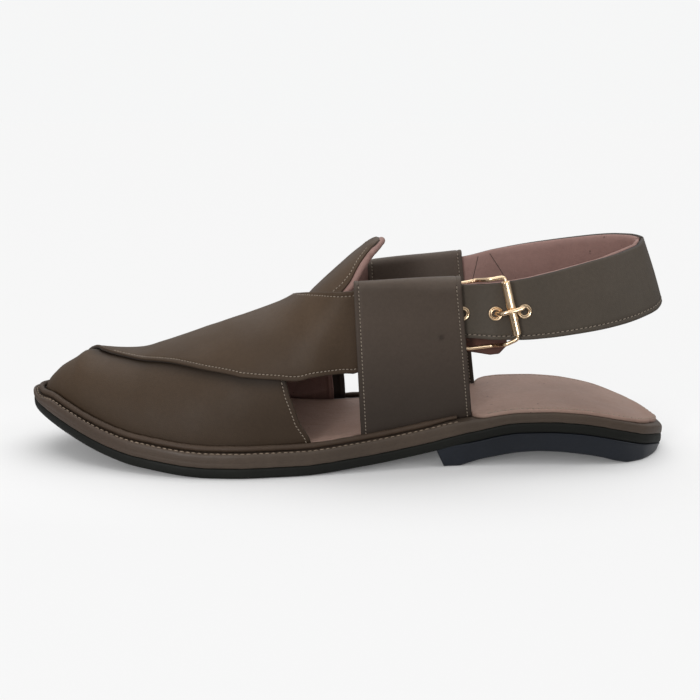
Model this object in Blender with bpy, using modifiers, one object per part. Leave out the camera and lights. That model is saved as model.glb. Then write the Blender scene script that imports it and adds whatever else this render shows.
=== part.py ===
"""A left peshawari chappal: crossed upper straps, side loops, tongue, buckled heel strap, stacked sole.

Metres, +Z up. X runs from the toe (-X) to the heel (+X), the lateral side is -Y and the medial side +Y.
The origin is on the floor, under the flat spot at the back of the heel.
"""

import math

import bmesh
import bpy
import numpy as np
from mathutils import Vector

MM = 0.001

# Sole
LENGTH = 292.0
BALL_WIDTH = 94.4
REST_BACK = 16.0
TOE_SPRING = 19.5
SEAT_RISE = 15.4
OUTSOLE_THICK = 4.8
MIDSOLE_THICK = 6.0
INSOLE_THICK = 1.6
HEEL_LENGTH = 103.4
HEEL_ARCH = 6.4
HEEL_TAPER = 1.7
BREAST_SLANT = 4.0
BAND_BULGE = 0.5
EDGE_ROUND = 1.1
TIP_STEP = 2.6
CLEAR = 0.3

# Bead round the forefoot
BEAD_RADIUS = 1.3
BEAD_INSET = 3.7
BEAD_LATERAL_END = 98.0
BEAD_MEDIAL_END = 93.0

# Insole
INSOLE_EDGE = 0.4
INSOLE_SPREAD = 1.6
TOE_INSET = 2.4
EAR_RADIUS = 7.0
EAR_GAP = 2.0

# Upper
WALL_INSET = 5.5
STRAP_THICK = 2.2
STRAP_STEP = 1.7
STRAP_BITE = 0.9
HEM_STEP = 0.4
HEM_LIFT = 1.6
INSTEP_RISE = 82.0
TONGUE_THICK = 2.0
TONGUE_SINK = 0.5

# Side loops of folded leather
LOOP_THICK = 1.6
LOOP_WIDTH = 45.0
LOOP_TOP = 82.7
LATERAL_LOOP_RISE = 1.8
MEDIAL_LOOP_RISE = 4.8
LATERAL_LOOP_FRONT = 143.4
MEDIAL_LOOP_FRONT = 136.4
LOOP_LEAN = 4.6
LOOP_TOP_LATERAL = 35.5
LOOP_TOP_MEDIAL = 34.5
LOOP_BULGE = 1.2
ARM_DEPTH = 3.3
ARM_LEAD = 17.0
ARM_CLIMB = 25.0
LOOP_FOOT_GAP = 0.6
LOOP_GAP = 3.4
BUCKLE_GAP = 7.5

# Heel strap and buckle
HEEL_STRAP_WIDTH = 29.0
HEEL_STRAP_SPAN = 33.0
HEEL_STRAP_LOW = 68.0
HEEL_STRAP_THICK = 4.2
PAD_BULGE = 0.58
STRAP_DEPTH_LATERAL = 3.95
STRAP_DEPTH_MEDIAL = 3.2
ROLLER_RADIUS = 1.8
WIRE_RADIUS = 0.8
PRONG_RADIUS = 0.75
EYELET_RADIUS = 3.1
EYELET_HOLE = 1.9
EYELET_WALL = 0.4
EYELET_LEAD = 14.7
EYELET_BACK = LATERAL_LOOP_FRONT - LOOP_WIDTH - EYELET_LEAD
EYELET_PITCH = 12.0
EYELET_UP = 0.47
FLAP_THICK = 1.4
BUCKLE_LENGTH = 25.0
BUCKLE_HEIGHT = 24.4
BUCKLE_LEAD = 24.2
BUCKLE_BACK = LATERAL_LOOP_FRONT - LOOP_WIDTH - BUCKLE_LEAD
BUCKLE_LOW = 59.6


def table(columns, *rows):
    return dict(zip(columns.split(), np.array(rows, float).T))


# Plan outline. back is a share of LENGTH from the heel, the widths are shares of half of BALL_WIDTH.
OUTLINE = table(
    "back lateral medial",
    (0.000, 0.000, 0.000),
    (0.020, 0.340, 0.340),
    (0.050, 0.527, 0.510),
    (0.100, 0.638, 0.605),
    (0.150, 0.663, 0.620),
    (0.200, 0.668, 0.622),
    (0.300, 0.675, 0.622),
    (0.400, 0.733, 0.672),
    (0.500, 0.856, 0.784),
    (0.600, 0.968, 0.917),
    (0.660, 1.008, 0.989),
    (0.720, 0.989, 1.010),
    (0.800, 0.877, 0.938),
    (0.870, 0.703, 0.794),
    (0.930, 0.488, 0.601),
    (0.970, 0.280, 0.398),
    (1.000, -0.064, 0.064),
)
# Underside of the outsole. seat is a share of SEAT_RISE, toe of TOE_SPRING, band of MIDSOLE_THICK.
SIDE = table(
    "back seat toe band",
    (0.000, 0.14, 0.00, 0.60),
    (0.027, 0.39, 0.00, 0.62),
    (0.053, 0.53, 0.00, 0.66),
    (0.089, 0.72, 0.00, 0.70),
    (0.123, 0.86, 0.00, 0.70),
    (0.154, 0.95, 0.00, 0.70),
    (0.199, 1.00, 0.00, 0.70),
    (0.243, 0.985, 0.00, 0.70),
    (0.274, 0.90, 0.00, 0.74),
    (0.301, 0.78, 0.00, 0.82),
    (0.332, 0.655, 0.00, 0.93),
    (0.353, 0.56, 0.00, 1.00),
    (0.377, 0.455, 0.00, 1.00),
    (0.437, 0.250, 0.00, 1.00),
    (0.497, 0.112, 0.00, 1.00),
    (0.530, 0.040, 0.00, 1.00),
    (0.565, 0.000, 0.00, 1.00),
    (0.700, 0.000, 0.000, 1.00),
    (0.729, 0.000, 0.022, 1.00),
    (0.759, 0.000, 0.062, 1.00),
    (0.790, 0.000, 0.113, 1.00),
    (0.822, 0.000, 0.170, 1.00),
    (0.855, 0.000, 0.280, 1.00),
    (0.889, 0.000, 0.430, 1.00),
    (0.926, 0.000, 0.625, 1.00),
    (0.972, 0.000, 0.860, 1.00),
    (1.000, 0.000, 1.000, 1.00),
)
# Underside of the heel block. back is a share of HEEL_LENGTH, arch of HEEL_ARCH.
HEEL_SIDE = table(
    "back arch",
    (0.00, 0.00),
    (0.20, 0.00),
    (0.25, 0.15),
    (0.34, 0.55),
    (0.43, 0.79),
    (0.51, 0.94),
    (0.60, 1.00),
    (0.68, 0.93),
    (0.765, 0.70),
    (0.85, 0.42),
    (0.905, 0.15),
    (0.94, 0.00),
    (1.10, 0.00),
)
# Form of the foot inside the upper. rise is a share of INSTEP_RISE over the midsole.
CREST = table(
    "back rise square",
    (0.000, 1.05, 4.0),
    (0.340, 1.04, 4.0),
    (0.452, 1.01, 3.8),
    (0.479, 0.958, 3.6),
    (0.510, 0.878, 3.3),
    (0.548, 0.765, 3.0),
    (0.565, 0.708, 2.8),
    (0.579, 0.673, 2.7),
    (0.606, 0.628, 2.6),
    (0.637, 0.587, 2.5),
    (0.670, 0.551, 2.4),
    (0.702, 0.513, 2.3),
    (0.733, 0.473, 2.2),
    (0.765, 0.428, 2.1),
    (0.798, 0.377, 2.1),
    (0.829, 0.335, 2.0),
    (0.861, 0.302, 2.0),
    (0.897, 0.272, 2.0),
    (0.925, 0.248, 2.0),
    (0.942, 0.195, 2.0),
    (0.959, 0.145, 2.0),
    (0.975, 0.096, 2.0),
    (0.990, 0.054, 2.0),
    (1.000, 0.000, 2.0),
)
# Rear edge of the under strap, from the lateral sole over the vamp. turn goes round the foot form.
UNDER_REAR = table(
    "turn back",
    (0.000, 0.548),
    (0.014, 0.558),
    (0.030, 0.566),
    (0.057, 0.572),
    (0.096, 0.580),
    (0.140, 0.585),
    (0.220, 0.590),
    (0.400, 0.592),
    (0.600, 0.588),
    (0.880, 0.538),
    (0.930, 0.528),
    (1.000, 0.517),
)
# The under strap's arm to the medial loop: its upper and lower edges, from the vamp rearwards.
UNDER_ARM = table(
    "step upper_back upper_turn lower_back lower_turn",
    (0.00, 0.588, 0.600, 0.538, 0.880),
    (0.30, 0.550, 0.665, 0.510, 0.915),
    (0.55, 0.520, 0.712, 0.485, 0.935),
    (0.80, 0.482, 0.762, 0.455, 0.950),
    (1.00, 0.420, 0.797, 0.420, 0.956),
)
# The over strap's two edges, from the medial sole over the vamp to the lateral loop.
OVER_FRONT = table(
    "step back turn",
    (0.00, 0.965, 1.000),
    (0.06, 0.944, 0.750),
    (0.13, 0.905, 0.495),
    (0.16, 0.886, 0.458),
    (0.20, 0.862, 0.432),
    (0.30, 0.789, 0.342),
    (0.40, 0.717, 0.257),
    (0.50, 0.654, 0.192),
    (0.62, 0.594, 0.148),
    (0.75, 0.535, 0.096),
    (0.88, 0.488, 0.058),
    (1.00, 0.447, 0.045),
)
OVER_REAR = table(
    "step back turn",
    (0.00, 0.500, 1.000),
    (0.08, 0.505, 0.965),
    (0.16, 0.512, 0.920),
    (0.26, 0.530, 0.850),
    (0.38, 0.556, 0.740),
    (0.50, 0.571, 0.600),
    (0.58, 0.571, 0.500),
    (0.66, 0.559, 0.445),
    (0.74, 0.535, 0.365),
    (0.82, 0.515, 0.309),
    (0.90, 0.488, 0.256),
    (1.00, 0.447, 0.214),
)
# Half width of the tongue as a turn either side of the crest, from its root to its tip.
TONGUE = table(
    "step back half",
    (0.00, 0.660, 0.140),
    (0.30, 0.600, 0.170),
    (0.60, 0.540, 0.200),
    (0.78, 0.505, 0.205),
    (0.85, 0.491, 0.190),
    (0.90, 0.479, 0.136),
    (0.94, 0.469, 0.100),
    (0.98, 0.454, 0.052),
    (1.00, 0.446, 0.012),
)
# Heel strap from the lateral loop round the heel to the medial loop, at its lower edge. back is a share of
# LENGTH, side of HEEL_STRAP_SPAN, low of HEEL_STRAP_LOW, wide and thick of the strap's width and thickness,
# and lean is the inward tilt in degrees.
HEEL_STRAP = table(
    "step back side low lean wide thick",
    (0.00, 0.410, -0.970, 0.846, 0.0, 0.810, 0.55),
    (0.08, 0.335, -0.970, 0.846, 0.0, 0.815, 0.55),
    (0.15, 0.288, -0.985, 0.846, 1.0, 0.840, 0.60),
    (0.21, 0.250, -0.985, 0.846, 3.0, 0.895, 0.70),
    (0.28, 0.212, -0.950, 0.853, 6.0, 0.950, 0.90),
    (0.35, 0.171, -0.895, 0.870, 9.0, 1.000, 1.00),
    (0.41, 0.130, -0.810, 0.890, 12.0, 1.040, 1.00),
    (0.47, 0.092, -0.690, 0.915, 15.0, 1.055, 1.00),
    (0.52, 0.061, -0.530, 0.941, 17.5, 1.055, 1.00),
    (0.57, 0.034, -0.320, 0.970, 19.0, 1.050, 1.00),
    (0.62, 0.019, 0.000, 1.000, 19.7, 1.050, 1.00),
    (0.67, 0.034, 0.320, 1.010, 19.0, 1.050, 1.00),
    (0.71, 0.061, 0.530, 1.005, 17.5, 1.045, 1.00),
    (0.75, 0.092, 0.690, 0.990, 15.0, 1.035, 1.00),
    (0.80, 0.130, 0.810, 0.968, 12.0, 1.015, 1.00),
    (0.85, 0.171, 0.895, 0.945, 9.0, 0.990, 1.00),
    (0.89, 0.212, 0.940, 0.925, 6.0, 0.960, 0.85),
    (0.93, 0.260, 0.950, 0.902, 2.0, 0.910, 0.65),
    (0.97, 0.315, 0.920, 0.880, 0.0, 0.830, 0.55),
    (1.00, 0.385, 0.920, 0.872, 0.0, 0.790, 0.55),
)
# Leather that holds the buckle. lead is a share of BUCKLE_LENGTH ahead of the roller, low and top of BUCKLE_HEIGHT.
BUCKLE_FLAP = table(
    "lead low top",
    (1.092, -0.287, 0.672),
    (0.832, -0.328, 0.672),
    (0.592, -0.369, 0.631),
    (0.432, -0.393, 0.570),
    (0.312, -0.344, 0.467),
    (0.232, -0.221, 0.344),
)
# Section of the heel strap: up across its width, out through its thickness.
STRAP_SECTION = table(
    "up out",
    (0.00, 0.20),
    (0.07, 0.50),
    (0.50, PAD_BULGE),
    (0.93, 0.50),
    (1.00, 0.20),
    (1.00, -0.20),
    (0.93, -0.50),
    (0.07, -0.50),
    (0.00, -0.20),
)


def bend(xs, ys, x):
    """Smooth curve through the rows of a table that never overshoots them."""
    steps = np.diff(xs)
    slopes = np.diff(ys) / steps
    tangents = np.concatenate([slopes[:1], np.zeros(len(steps) - 1), slopes[-1:]])
    for i in range(1, len(steps)):
        if slopes[i - 1] * slopes[i] > 0:
            before, after = 2 * steps[i] + steps[i - 1], steps[i] + 2 * steps[i - 1]
            tangents[i] = (before + after) / (before / slopes[i - 1] + after / slopes[i])
    x = np.clip(x, xs[0], xs[-1])
    i = np.clip(np.searchsorted(xs, x, side="right") - 1, 0, len(steps) - 1)
    s = (x - xs[i]) / steps[i]
    return (
        (1 + 2 * s) * (1 - s) ** 2 * ys[i]
        + s * (1 - s) ** 2 * steps[i] * tangents[i]
        + s * s * (3 - 2 * s) * ys[i + 1]
        + s * s * (s - 1) * steps[i] * tangents[i + 1]
    )


def station_of(share):
    """Even steps of a station crowd towards both ends, where the outline turns."""
    return np.arccos(1 - 2 * np.clip(share, 0, 1)) / math.pi


def share_of(station):
    return (1 - np.cos(math.pi * np.asarray(station, float))) / 2


def read(rows, column, share):
    return bend(rows["back"], rows[column], np.asarray(share, float))


def rim(station, side):
    """Point of the plan outline on the lateral (-1) or medial (1) side."""
    station = np.asarray(station, float)
    column = OUTLINE["lateral" if side < 0 else "medial"]
    half = bend(station_of(OUTLINE["back"]), column, station) * BALL_WIDTH / 2
    return np.stack([REST_BACK - LENGTH * share_of(station), side * half], -1)


def inset_rim(station, side, inset):
    station = np.asarray(station, float)
    ahead = rim(np.clip(station + 1e-4, 0, 1), side)
    behind = rim(np.clip(station - 1e-4, 0, 1), side)
    along = ahead - behind
    along /= np.linalg.norm(along, axis=-1, keepdims=True)
    outward = np.stack([side * along[..., 1], -side * along[..., 0]], -1)
    return rim(station, side) - outward * np.asarray(inset, float)[..., None]


def share_at(x):
    return (REST_BACK - np.asarray(x, float)) / LENGTH


def share_left(x):
    return 1 - share_at(x)


def sole_bottom(x):
    share = share_at(x)
    return SEAT_RISE * read(SIDE, "seat", share) + TOE_SPRING * read(SIDE, "toe", share)


def sole_top(x):
    return sole_bottom(x) + OUTSOLE_THICK


def band_top(x):
    return sole_top(x) + CLEAR + MIDSOLE_THICK * read(SIDE, "band", share_at(x))


def heel_bottom(x):
    share = (REST_BACK - np.asarray(x, float)) / HEEL_LENGTH
    return HEEL_ARCH * read(HEEL_SIDE, "arch", share)


def hem_height(x):
    """Lowest edge of the upper: clear of the midsole, also where that climbs to the toe."""
    slope = abs(band_top(x + 1) - band_top(x - 1)) / 2
    return band_top(x) + CLEAR + HEM_LIFT * slope


def last_point(back, turn):
    """Point of the foot form: back is a share of LENGTH, turn runs from 0 (lateral) over to 1 (medial)."""
    back, turn = np.broadcast_arrays(np.asarray(back, float), np.asarray(turn, float))
    station = station_of(back)
    inner = WALL_INSET + STRAP_THICK
    low = inset_rim(station, -1, inner)
    high = inset_rim(station, 1, inner + STRAP_STEP)
    square = bend(CREST["back"], CREST["square"], back)
    rise = bend(station_of(CREST["back"]), CREST["rise"], station) * INSTEP_RISE
    angle = math.pi * turn
    across = (1 - np.sign(np.cos(angle)) * np.abs(np.cos(angle)) ** (2 / square)) / 2
    up = np.abs(np.sin(angle)) ** (2 / square)
    plan = low + (high - low) * across[..., None]
    z = hem_height(plan[..., 0]) + rise * up
    return np.concatenate([plan, z[..., None]], -1)


def foot_normal(back, turn):
    """Outward direction of the foot form."""
    back, turn = np.broadcast_arrays(np.asarray(back, float), np.asarray(turn, float))
    step = 1e-3
    along = last_point(np.clip(back + step, 0, 0.9999), turn) - last_point(np.clip(back - step, 0, 1), turn)
    round_it = last_point(back, np.clip(turn + step, 0, 1)) - last_point(back, np.clip(turn - step, 0, 1))
    normal = np.cross(round_it, along)
    return normal / np.maximum(np.linalg.norm(normal, axis=-1, keepdims=True), 1e-9)


def smooth(t):
    t = np.clip(t, 0, 1)
    return t * t * (3 - 2 * t)


def loop_base(side, x):
    """Outer face of a side loop where it meets the midsole, and its height there."""
    station = station_of(share_at(x))
    return inset_rim(station, side, WALL_INSET)[..., 1], band_top(x) + CLEAR


def loop_front(side):
    return LATERAL_LOOP_FRONT if side < 0 else MEDIAL_LOOP_FRONT


def loop_top(side, x):
    rise = LATERAL_LOOP_RISE if side < 0 else MEDIAL_LOOP_RISE
    return LOOP_TOP + rise * (loop_front(side) - REST_BACK + np.asarray(x, float)) / LOOP_WIDTH


def loop_height(side, x, z):
    """How far z lies from the loop's base to its top."""
    _, base = loop_base(side, x)
    return (z - base) / (loop_top(side, x) - base)


def loop_side(side, x, z, depth):
    """Sideways place of a sheet that lies this deep inside a side loop."""
    low, base = loop_base(side, x)
    height = loop_height(side, x, z)
    top = side * (LOOP_TOP_LATERAL if side < 0 else LOOP_TOP_MEDIAL)
    flat = low + (top - low) * np.clip(height, 0, 1.2)
    return flat + side * LOOP_BULGE * np.sin(math.pi * np.clip(height, 0, 1)) - side * depth


def wall_point(back, turn, lift):
    """Point of the upper at this height over the foot form, led into the side loops at the arms' ends."""
    back, turn = np.broadcast_arrays(np.asarray(back, float), np.asarray(turn, float))
    form = last_point(back, turn)
    point = form + lift * foot_normal(back, turn)
    low = np.clip(1 - (form[..., 2] - hem_height(form[..., 0])) / ARM_CLIMB, 0, 1)
    point[..., 2] += low * (hem_height(point[..., 0]) - hem_height(form[..., 0]))
    for side, level in ((-1, turn), (1, 1 - turn)):
        front = REST_BACK - loop_front(side)
        weight = smooth((point[..., 0] - front + ARM_LEAD) / (0.85 * ARM_LEAD)) * smooth((0.43 - level) / 0.1)
        weight = weight * smooth((point[..., 2] - band_top(point[..., 0])) / ARM_CLIMB)
        target = loop_side(side, point[..., 0], point[..., 2], ARM_DEPTH)
        point[..., 1] += weight * (target - point[..., 1])
    return point


def material(name, colour, roughness, metallic=0.0):
    made = bpy.data.materials.new(name)
    made.use_nodes = True
    surface = made.node_tree.nodes["Principled BSDF"]
    surface.inputs["Base Color"].default_value = (*colour, 1)
    surface.inputs["Roughness"].default_value = roughness
    surface.inputs["Metallic"].default_value = metallic
    made.diffuse_color = (*colour, 1)
    return made


def add_object(name, data, where, look):
    thing = bpy.data.objects.new(name, data)
    where.objects.link(thing)
    data.materials.clear()
    data.materials.append(look)
    return thing


def add_mesh(name, points, faces, where, look):
    mesh = bpy.data.meshes.new(name)
    mesh.from_pydata([tuple(MM * value for value in point) for point in points], [], faces)
    work = bmesh.new()
    work.from_mesh(mesh)
    bmesh.ops.remove_doubles(work, verts=work.verts, dist=1e-6)
    bmesh.ops.dissolve_degenerate(work, edges=work.edges, dist=1e-7)
    work.to_mesh(mesh)
    work.free()
    mesh.shade_smooth()
    mesh.set_sharp_from_angle(angle=math.radians(35))
    return add_object(name, mesh, where, look)


def slab(name, levels, where, look):
    """Closed solid of stacked outlines. A level is the lateral and the medial points, heel to toe."""
    points, size = [], 0
    for lateral, medial in levels:
        shared = np.linalg.norm(lateral[-1] - medial[-1]) < 1e-6
        back_run = medial[-2:0:-1] if shared else medial[:0:-1]
        loop = np.concatenate([lateral, back_run])
        size = len(loop)
        points += list(loop)
    count = len(levels[0][0])
    top = (len(levels) - 1) * size
    faces = []
    for level in range(len(levels) - 1):
        for i in range(size):
            low, after = level * size + i, level * size + (i + 1) % size
            faces.append((after, low, low + size, after + size))
    for i in range(count - 1):
        rung = list(dict.fromkeys((i, i + 1, (size - i - 1) % size, (size - i) % size)))
        faces.append(tuple(rung))
        faces.append(tuple(top + index for index in reversed(rung)))
    return add_mesh(name, points, faces, where, look)


def side_at(x, side, inset):
    """Sideways place of the inset outline at these x, which lie inside it."""
    station = np.linspace(0, 1, 1201)
    ring = inset_rim(station, side, np.full(len(station), inset))
    return np.interp(-np.asarray(x), -ring[:, 0], ring[:, 1])


def outline_level(xs, inset, height):
    """Both sides of one level: the tips of the inset outline and its sides at the stations between them."""
    sides = []
    for side in (-1, 1):
        gap = inset if not callable(inset) else inset(side, xs)
        tips = inset_rim(np.array([0.0, 1.0]), side, np.array([np.ravel(gap)[0], np.ravel(gap)[-1]]))
        if callable(inset):
            wide, deep = side_at(xs, side, INSOLE_EDGE), side_at(xs, side, INSOLE_EDGE + 10)
            y = wide + (deep - wide) * (gap - INSOLE_EDGE) / 10
        else:
            y = side_at(xs, side, inset)
        plan = np.column_stack([np.concatenate([tips[:1, 0], xs, tips[1:, 0]]),
                                np.concatenate([tips[:1, 1], y, tips[1:, 1]])])
        sides.append(np.column_stack([plan, height(plan[:, 0])]))
    sides[1][0], sides[1][-1] = sides[0][0], sides[0][-1]
    return sides


def sheet(name, grid, thick, where, look, extra=()):
    """Open surface from rows of points, made solid by a Solidify modifier on both its sides."""
    rows, columns = grid.shape[:2]
    points = list(grid.reshape(-1, 3))
    faces = [
        (r * columns + c, r * columns + c + 1, (r + 1) * columns + c + 1, (r + 1) * columns + c)
        for r in range(rows - 1)
        for c in range(columns - 1)
    ]
    for first, arm in extra:
        edge = [(rows - 1) * columns + first + k for k in range(arm.shape[1])]
        for row in arm:
            start = len(points)
            points += list(row)
            fresh = list(range(start, start + len(row)))
            faces += [(edge[k], edge[k + 1], fresh[k + 1], fresh[k]) for k in range(len(row) - 1)]
            edge = fresh
    made = add_mesh(name, points, faces, where, look)
    solid = made.modifiers.new("thickness", "SOLIDIFY")
    solid.thickness = thick * MM
    solid.offset = 0
    solid.use_even_offset = True
    return made


def tube(name, points, radius, where, look, closed=False, resolution=2):
    curve = bpy.data.curves.new(name, "CURVE")
    curve.dimensions = "3D"
    curve.bevel_depth = radius * MM
    curve.bevel_resolution = resolution
    curve.use_fill_caps = True
    spline = curve.splines.new("POLY")
    spline.points.add(len(points) - 1)
    for target, point in zip(spline.points, points):
        target.co = (*(MM * value for value in point), 1)
    spline.use_cyclic_u = closed
    return add_object(name, curve, where, look)


def rounded(corners, radius, steps=4):
    """Closed path with its corners turned to arcs."""
    corners = [np.array(corner, float) for corner in corners]
    path = []
    for i, corner in enumerate(corners):
        before, after = corners[i - 1] - corner, corners[(i + 1) % len(corners)] - corner
        before, after = before / np.linalg.norm(before), after / np.linalg.norm(after)
        start, end = corner + before * radius, corner + after * radius
        for t in np.linspace(0, 1, steps):
            path.append((1 - t) ** 2 * start + 2 * t * (1 - t) * corner + t * t * end)
    return path


def build_sole(where, looks):
    end = station_of(TIP_STEP / LENGTH)
    xs = REST_BACK - LENGTH * share_of(np.linspace(end, 1 - end, 37))
    levels = [
        outline_level(xs, EDGE_ROUND, sole_bottom),
        outline_level(xs, 0.2, lambda x: sole_bottom(x) + EDGE_ROUND),
        outline_level(xs, 0.2, lambda x: sole_bottom(x) + OUTSOLE_THICK),
    ]
    slab("outsole", levels, where, looks["rubber"])

    breast = REST_BACK - HEEL_LENGTH
    inner = xs[xs > breast + 2 * BREAST_SLANT]
    levels = []
    for slant, inset, height in (
        (0, HEEL_TAPER, heel_bottom),
        (0, HEEL_TAPER - EDGE_ROUND / 2, lambda x: heel_bottom(x) + EDGE_ROUND / 2),
        (BREAST_SLANT, EDGE_ROUND, lambda x: sole_bottom(x) - CLEAR),
    ):
        level = outline_level(np.append(inner, breast - slant), inset, height)
        levels.append([side[:-1] for side in level])
    slab("heel", levels, where, looks["heel"])

    def band_level(share):
        return lambda x: sole_top(x) + CLEAR + share * (band_top(x) - sole_top(x) - CLEAR)

    levels = [
        outline_level(xs, BAND_BULGE, band_level(0)),
        outline_level(xs, 0, band_level(0.35)),
        outline_level(xs, 0, band_level(0.8)),
        outline_level(xs, BAND_BULGE, band_level(1)),
    ]
    slab("midsole", levels, where, looks["band"])

    def ear_end(side):
        return REST_BACK - (loop_front(side) - LOOP_WIDTH - LOOP_LEAN - EAR_GAP)

    def insole_inset(side, x):
        t = np.clip((x - ear_end(side)) / EAR_RADIUS, 0, 1)
        ahead = x < REST_BACK - loop_front(side)
        deep = WALL_INSET + 2 * LOOP_THICK + LOOP_FOOT_GAP + 2 * CLEAR
        tip = smooth((0.12 - share_left(x)) / 0.08)
        deep = deep - (1 - tip) * INSOLE_SPREAD * (ahead & (side < 0)) + tip * TOE_INSET
        return INSOLE_EDGE + (deep - INSOLE_EDGE) * (1 - np.sqrt(t * (2 - t)))

    corner = EAR_RADIUS * (1 - np.cos(np.linspace(0, math.pi / 2, 6)))
    ears = np.concatenate([ear_end(side) + np.append(corner, -0.3) for side in (-1, 1)])
    toe = REST_BACK - LENGTH + WALL_INSET + 2 * LOOP_THICK + LOOP_FOOT_GAP + 2 * CLEAR + TOE_INSET
    plan = np.array([x for x in xs if x > toe + 1 and min(abs(ears - x)) > 1])
    plan = np.sort(np.concatenate([plan, ears]))[::-1]
    levels = [
        outline_level(plan, insole_inset, lambda x: band_top(x) + CLEAR),
        outline_level(plan, insole_inset, lambda x: band_top(x) + CLEAR + INSOLE_THICK),
    ]
    slab("insole", levels, where, looks["lining"])

    first = station_of(BEAD_LATERAL_END / LENGTH)
    last = station_of(BEAD_MEDIAL_END / LENGTH)
    lateral = inset_rim(np.linspace(first, 1, 30), -1, BEAD_INSET)
    medial = inset_rim(np.linspace(1, last, 30), 1, BEAD_INSET)
    path = [(x, y, band_top(x) + CLEAR + BEAD_RADIUS) for x, y in np.concatenate([lateral, medial[1:]])]
    tube("bead", path, BEAD_RADIUS, where, looks["leather"], resolution=1)


def build_upper(where, cutters, looks):
    turns = np.concatenate([np.linspace(0, 0.14, 6)[:-1], np.linspace(0.14, 0.60, 8)[:-1],
                            np.linspace(0.60, 0.88, 6)[:-1], np.linspace(0.88, 1, 5)])
    rear = np.interp(turns, UNDER_REAR["turn"], UNDER_REAR["back"])
    rows = 22
    grid = np.zeros((rows, len(turns), 3))
    for r in range(rows):
        station = 1 + (station_of(rear) - 1) * r / (rows - 1)
        grid[r] = wall_point(share_of(station), turns, STRAP_THICK / 2)
    grid[0] = grid[0].mean(axis=0)
    first = int(np.argmin(abs(turns - 0.60)))
    last = int(np.argmin(abs(turns - 0.88)))
    across = (turns[first : last + 1] - 0.60) / 0.28
    arm = []
    for step in np.linspace(0, 1, 9)[1:]:
        row = {key: np.interp(step, UNDER_ARM["step"], UNDER_ARM[key]) for key in UNDER_ARM}
        back = row["upper_back"] + (row["lower_back"] - row["upper_back"]) * across
        turn = row["upper_turn"] + (row["lower_turn"] - row["upper_turn"]) * across
        arm.append(wall_point(back, turn, STRAP_THICK / 2))
    upper = sheet("upper", grid, STRAP_THICK, where, looks["leather"], extra=[(first, np.array(arm))])

    steps, parts = np.linspace(0, 1, 31), np.linspace(0, 1, 12)
    front = [np.interp(steps, OVER_FRONT["step"], OVER_FRONT[key]) for key in ("back", "turn")]
    behind = [np.interp(steps, OVER_REAR["step"], OVER_REAR[key]) for key in ("back", "turn")]
    over_thick = STRAP_BITE + STRAP_STEP
    lift = STRAP_THICK - STRAP_BITE + over_thick / 2
    grid = np.zeros((len(steps), len(parts), 3))
    for p, part in enumerate(parts):
        back = front[0] + (behind[0] - front[0]) * part
        turn = front[1] + (behind[1] - front[1]) * part
        grid[:, p] = wall_point(back, turn, lift)
        grid[:, p, 2] += HEM_STEP * np.clip(1 - steps / 0.05, 0, 1)
    over = sheet("over_strap", grid, over_thick, cutters, looks["leather"])
    over.hide_render = True
    over.display_type = "WIRE"
    join = upper.modifiers.new("crossing", "BOOLEAN")
    join.operation = "UNION"
    join.object = over

    steps = np.linspace(0, 1, 17)
    back = np.interp(steps, TONGUE["step"], TONGUE["back"])
    half = np.interp(steps, TONGUE["step"], TONGUE["half"])
    sink = TONGUE_SINK + TONGUE_THICK / 2
    grid = []
    for b, h in zip(back, half):
        turn = 0.5 + h * np.linspace(-1, 1, 9)
        grid.append(last_point(b, turn) - sink * foot_normal(b, turn))
    sheet("tongue", np.array(grid), TONGUE_THICK, where, looks["leather"])


def build_loops(where, looks):
    for side, name, rear_gap in ((-1, "lateral_loop", BUCKLE_GAP), (1, "medial_loop", LOOP_GAP)):
        grid = []
        for a in np.linspace(0, 1, 8):
            gap_full = LOOP_GAP + (rear_gap - LOOP_GAP) * smooth((a - 0.3) / 0.5)
            row = []
            radius = (gap_full + LOOP_THICK) / 2
            heights = np.array([0, 0.08, 0.18, 0.3, 0.45, 0.65, 0.85, 1.0])

            def place(height, depth, lift=0.0):
                back = loop_front(side) - LOOP_WIDTH * a - LOOP_LEAN * (1 - height)
                x = REST_BACK - back
                _, base = loop_base(side, x)
                z = base + (loop_top(side, x) - radius - LOOP_THICK / 2 - base) * height
                return (x, float(loop_side(side, x, z, depth)), z + lift)

            def gap_at(height):
                return LOOP_FOOT_GAP + (gap_full - LOOP_FOOT_GAP) * smooth((height - 0.03) / 0.42)

            for height in heights:
                row.append(place(height, LOOP_THICK / 2))
            for angle in np.linspace(0, math.pi, 7)[1:-1]:
                depth = LOOP_THICK / 2 + radius * (1 - math.cos(angle))
                row.append(place(1, depth, radius * math.sin(angle)))
            for height in heights[::-1]:
                row.append(place(height, LOOP_THICK * 1.5 + gap_at(height)))
            grid.append(row)
        sheet(name, np.array(grid), LOOP_THICK, where, looks["leather"])


def strap_frames(steps):
    """Lower edge, upward direction, outward direction, width and thickness of the heel strap."""
    row = {key: bend(HEEL_STRAP["step"], HEEL_STRAP[key], steps) for key in HEEL_STRAP}
    low = np.column_stack([
        REST_BACK - LENGTH * row["back"], HEEL_STRAP_SPAN * row["side"], HEEL_STRAP_LOW * row["low"]
    ])
    along = np.gradient(low, axis=0)
    along[:, 2] = 0
    along /= np.linalg.norm(along, axis=1, keepdims=True)
    inward = np.column_stack([-along[:, 1], along[:, 0], np.zeros(len(steps))])
    lean = np.radians(row["lean"])[:, None]
    up = np.cos(lean) * np.array([0, 0, 1.0]) + np.sin(lean) * inward
    out = np.sin(lean) * np.array([0, 0, 1.0]) - np.cos(lean) * inward
    return low, up, out, HEEL_STRAP_WIDTH * row["wide"], HEEL_STRAP_THICK * row["thick"]


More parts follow.
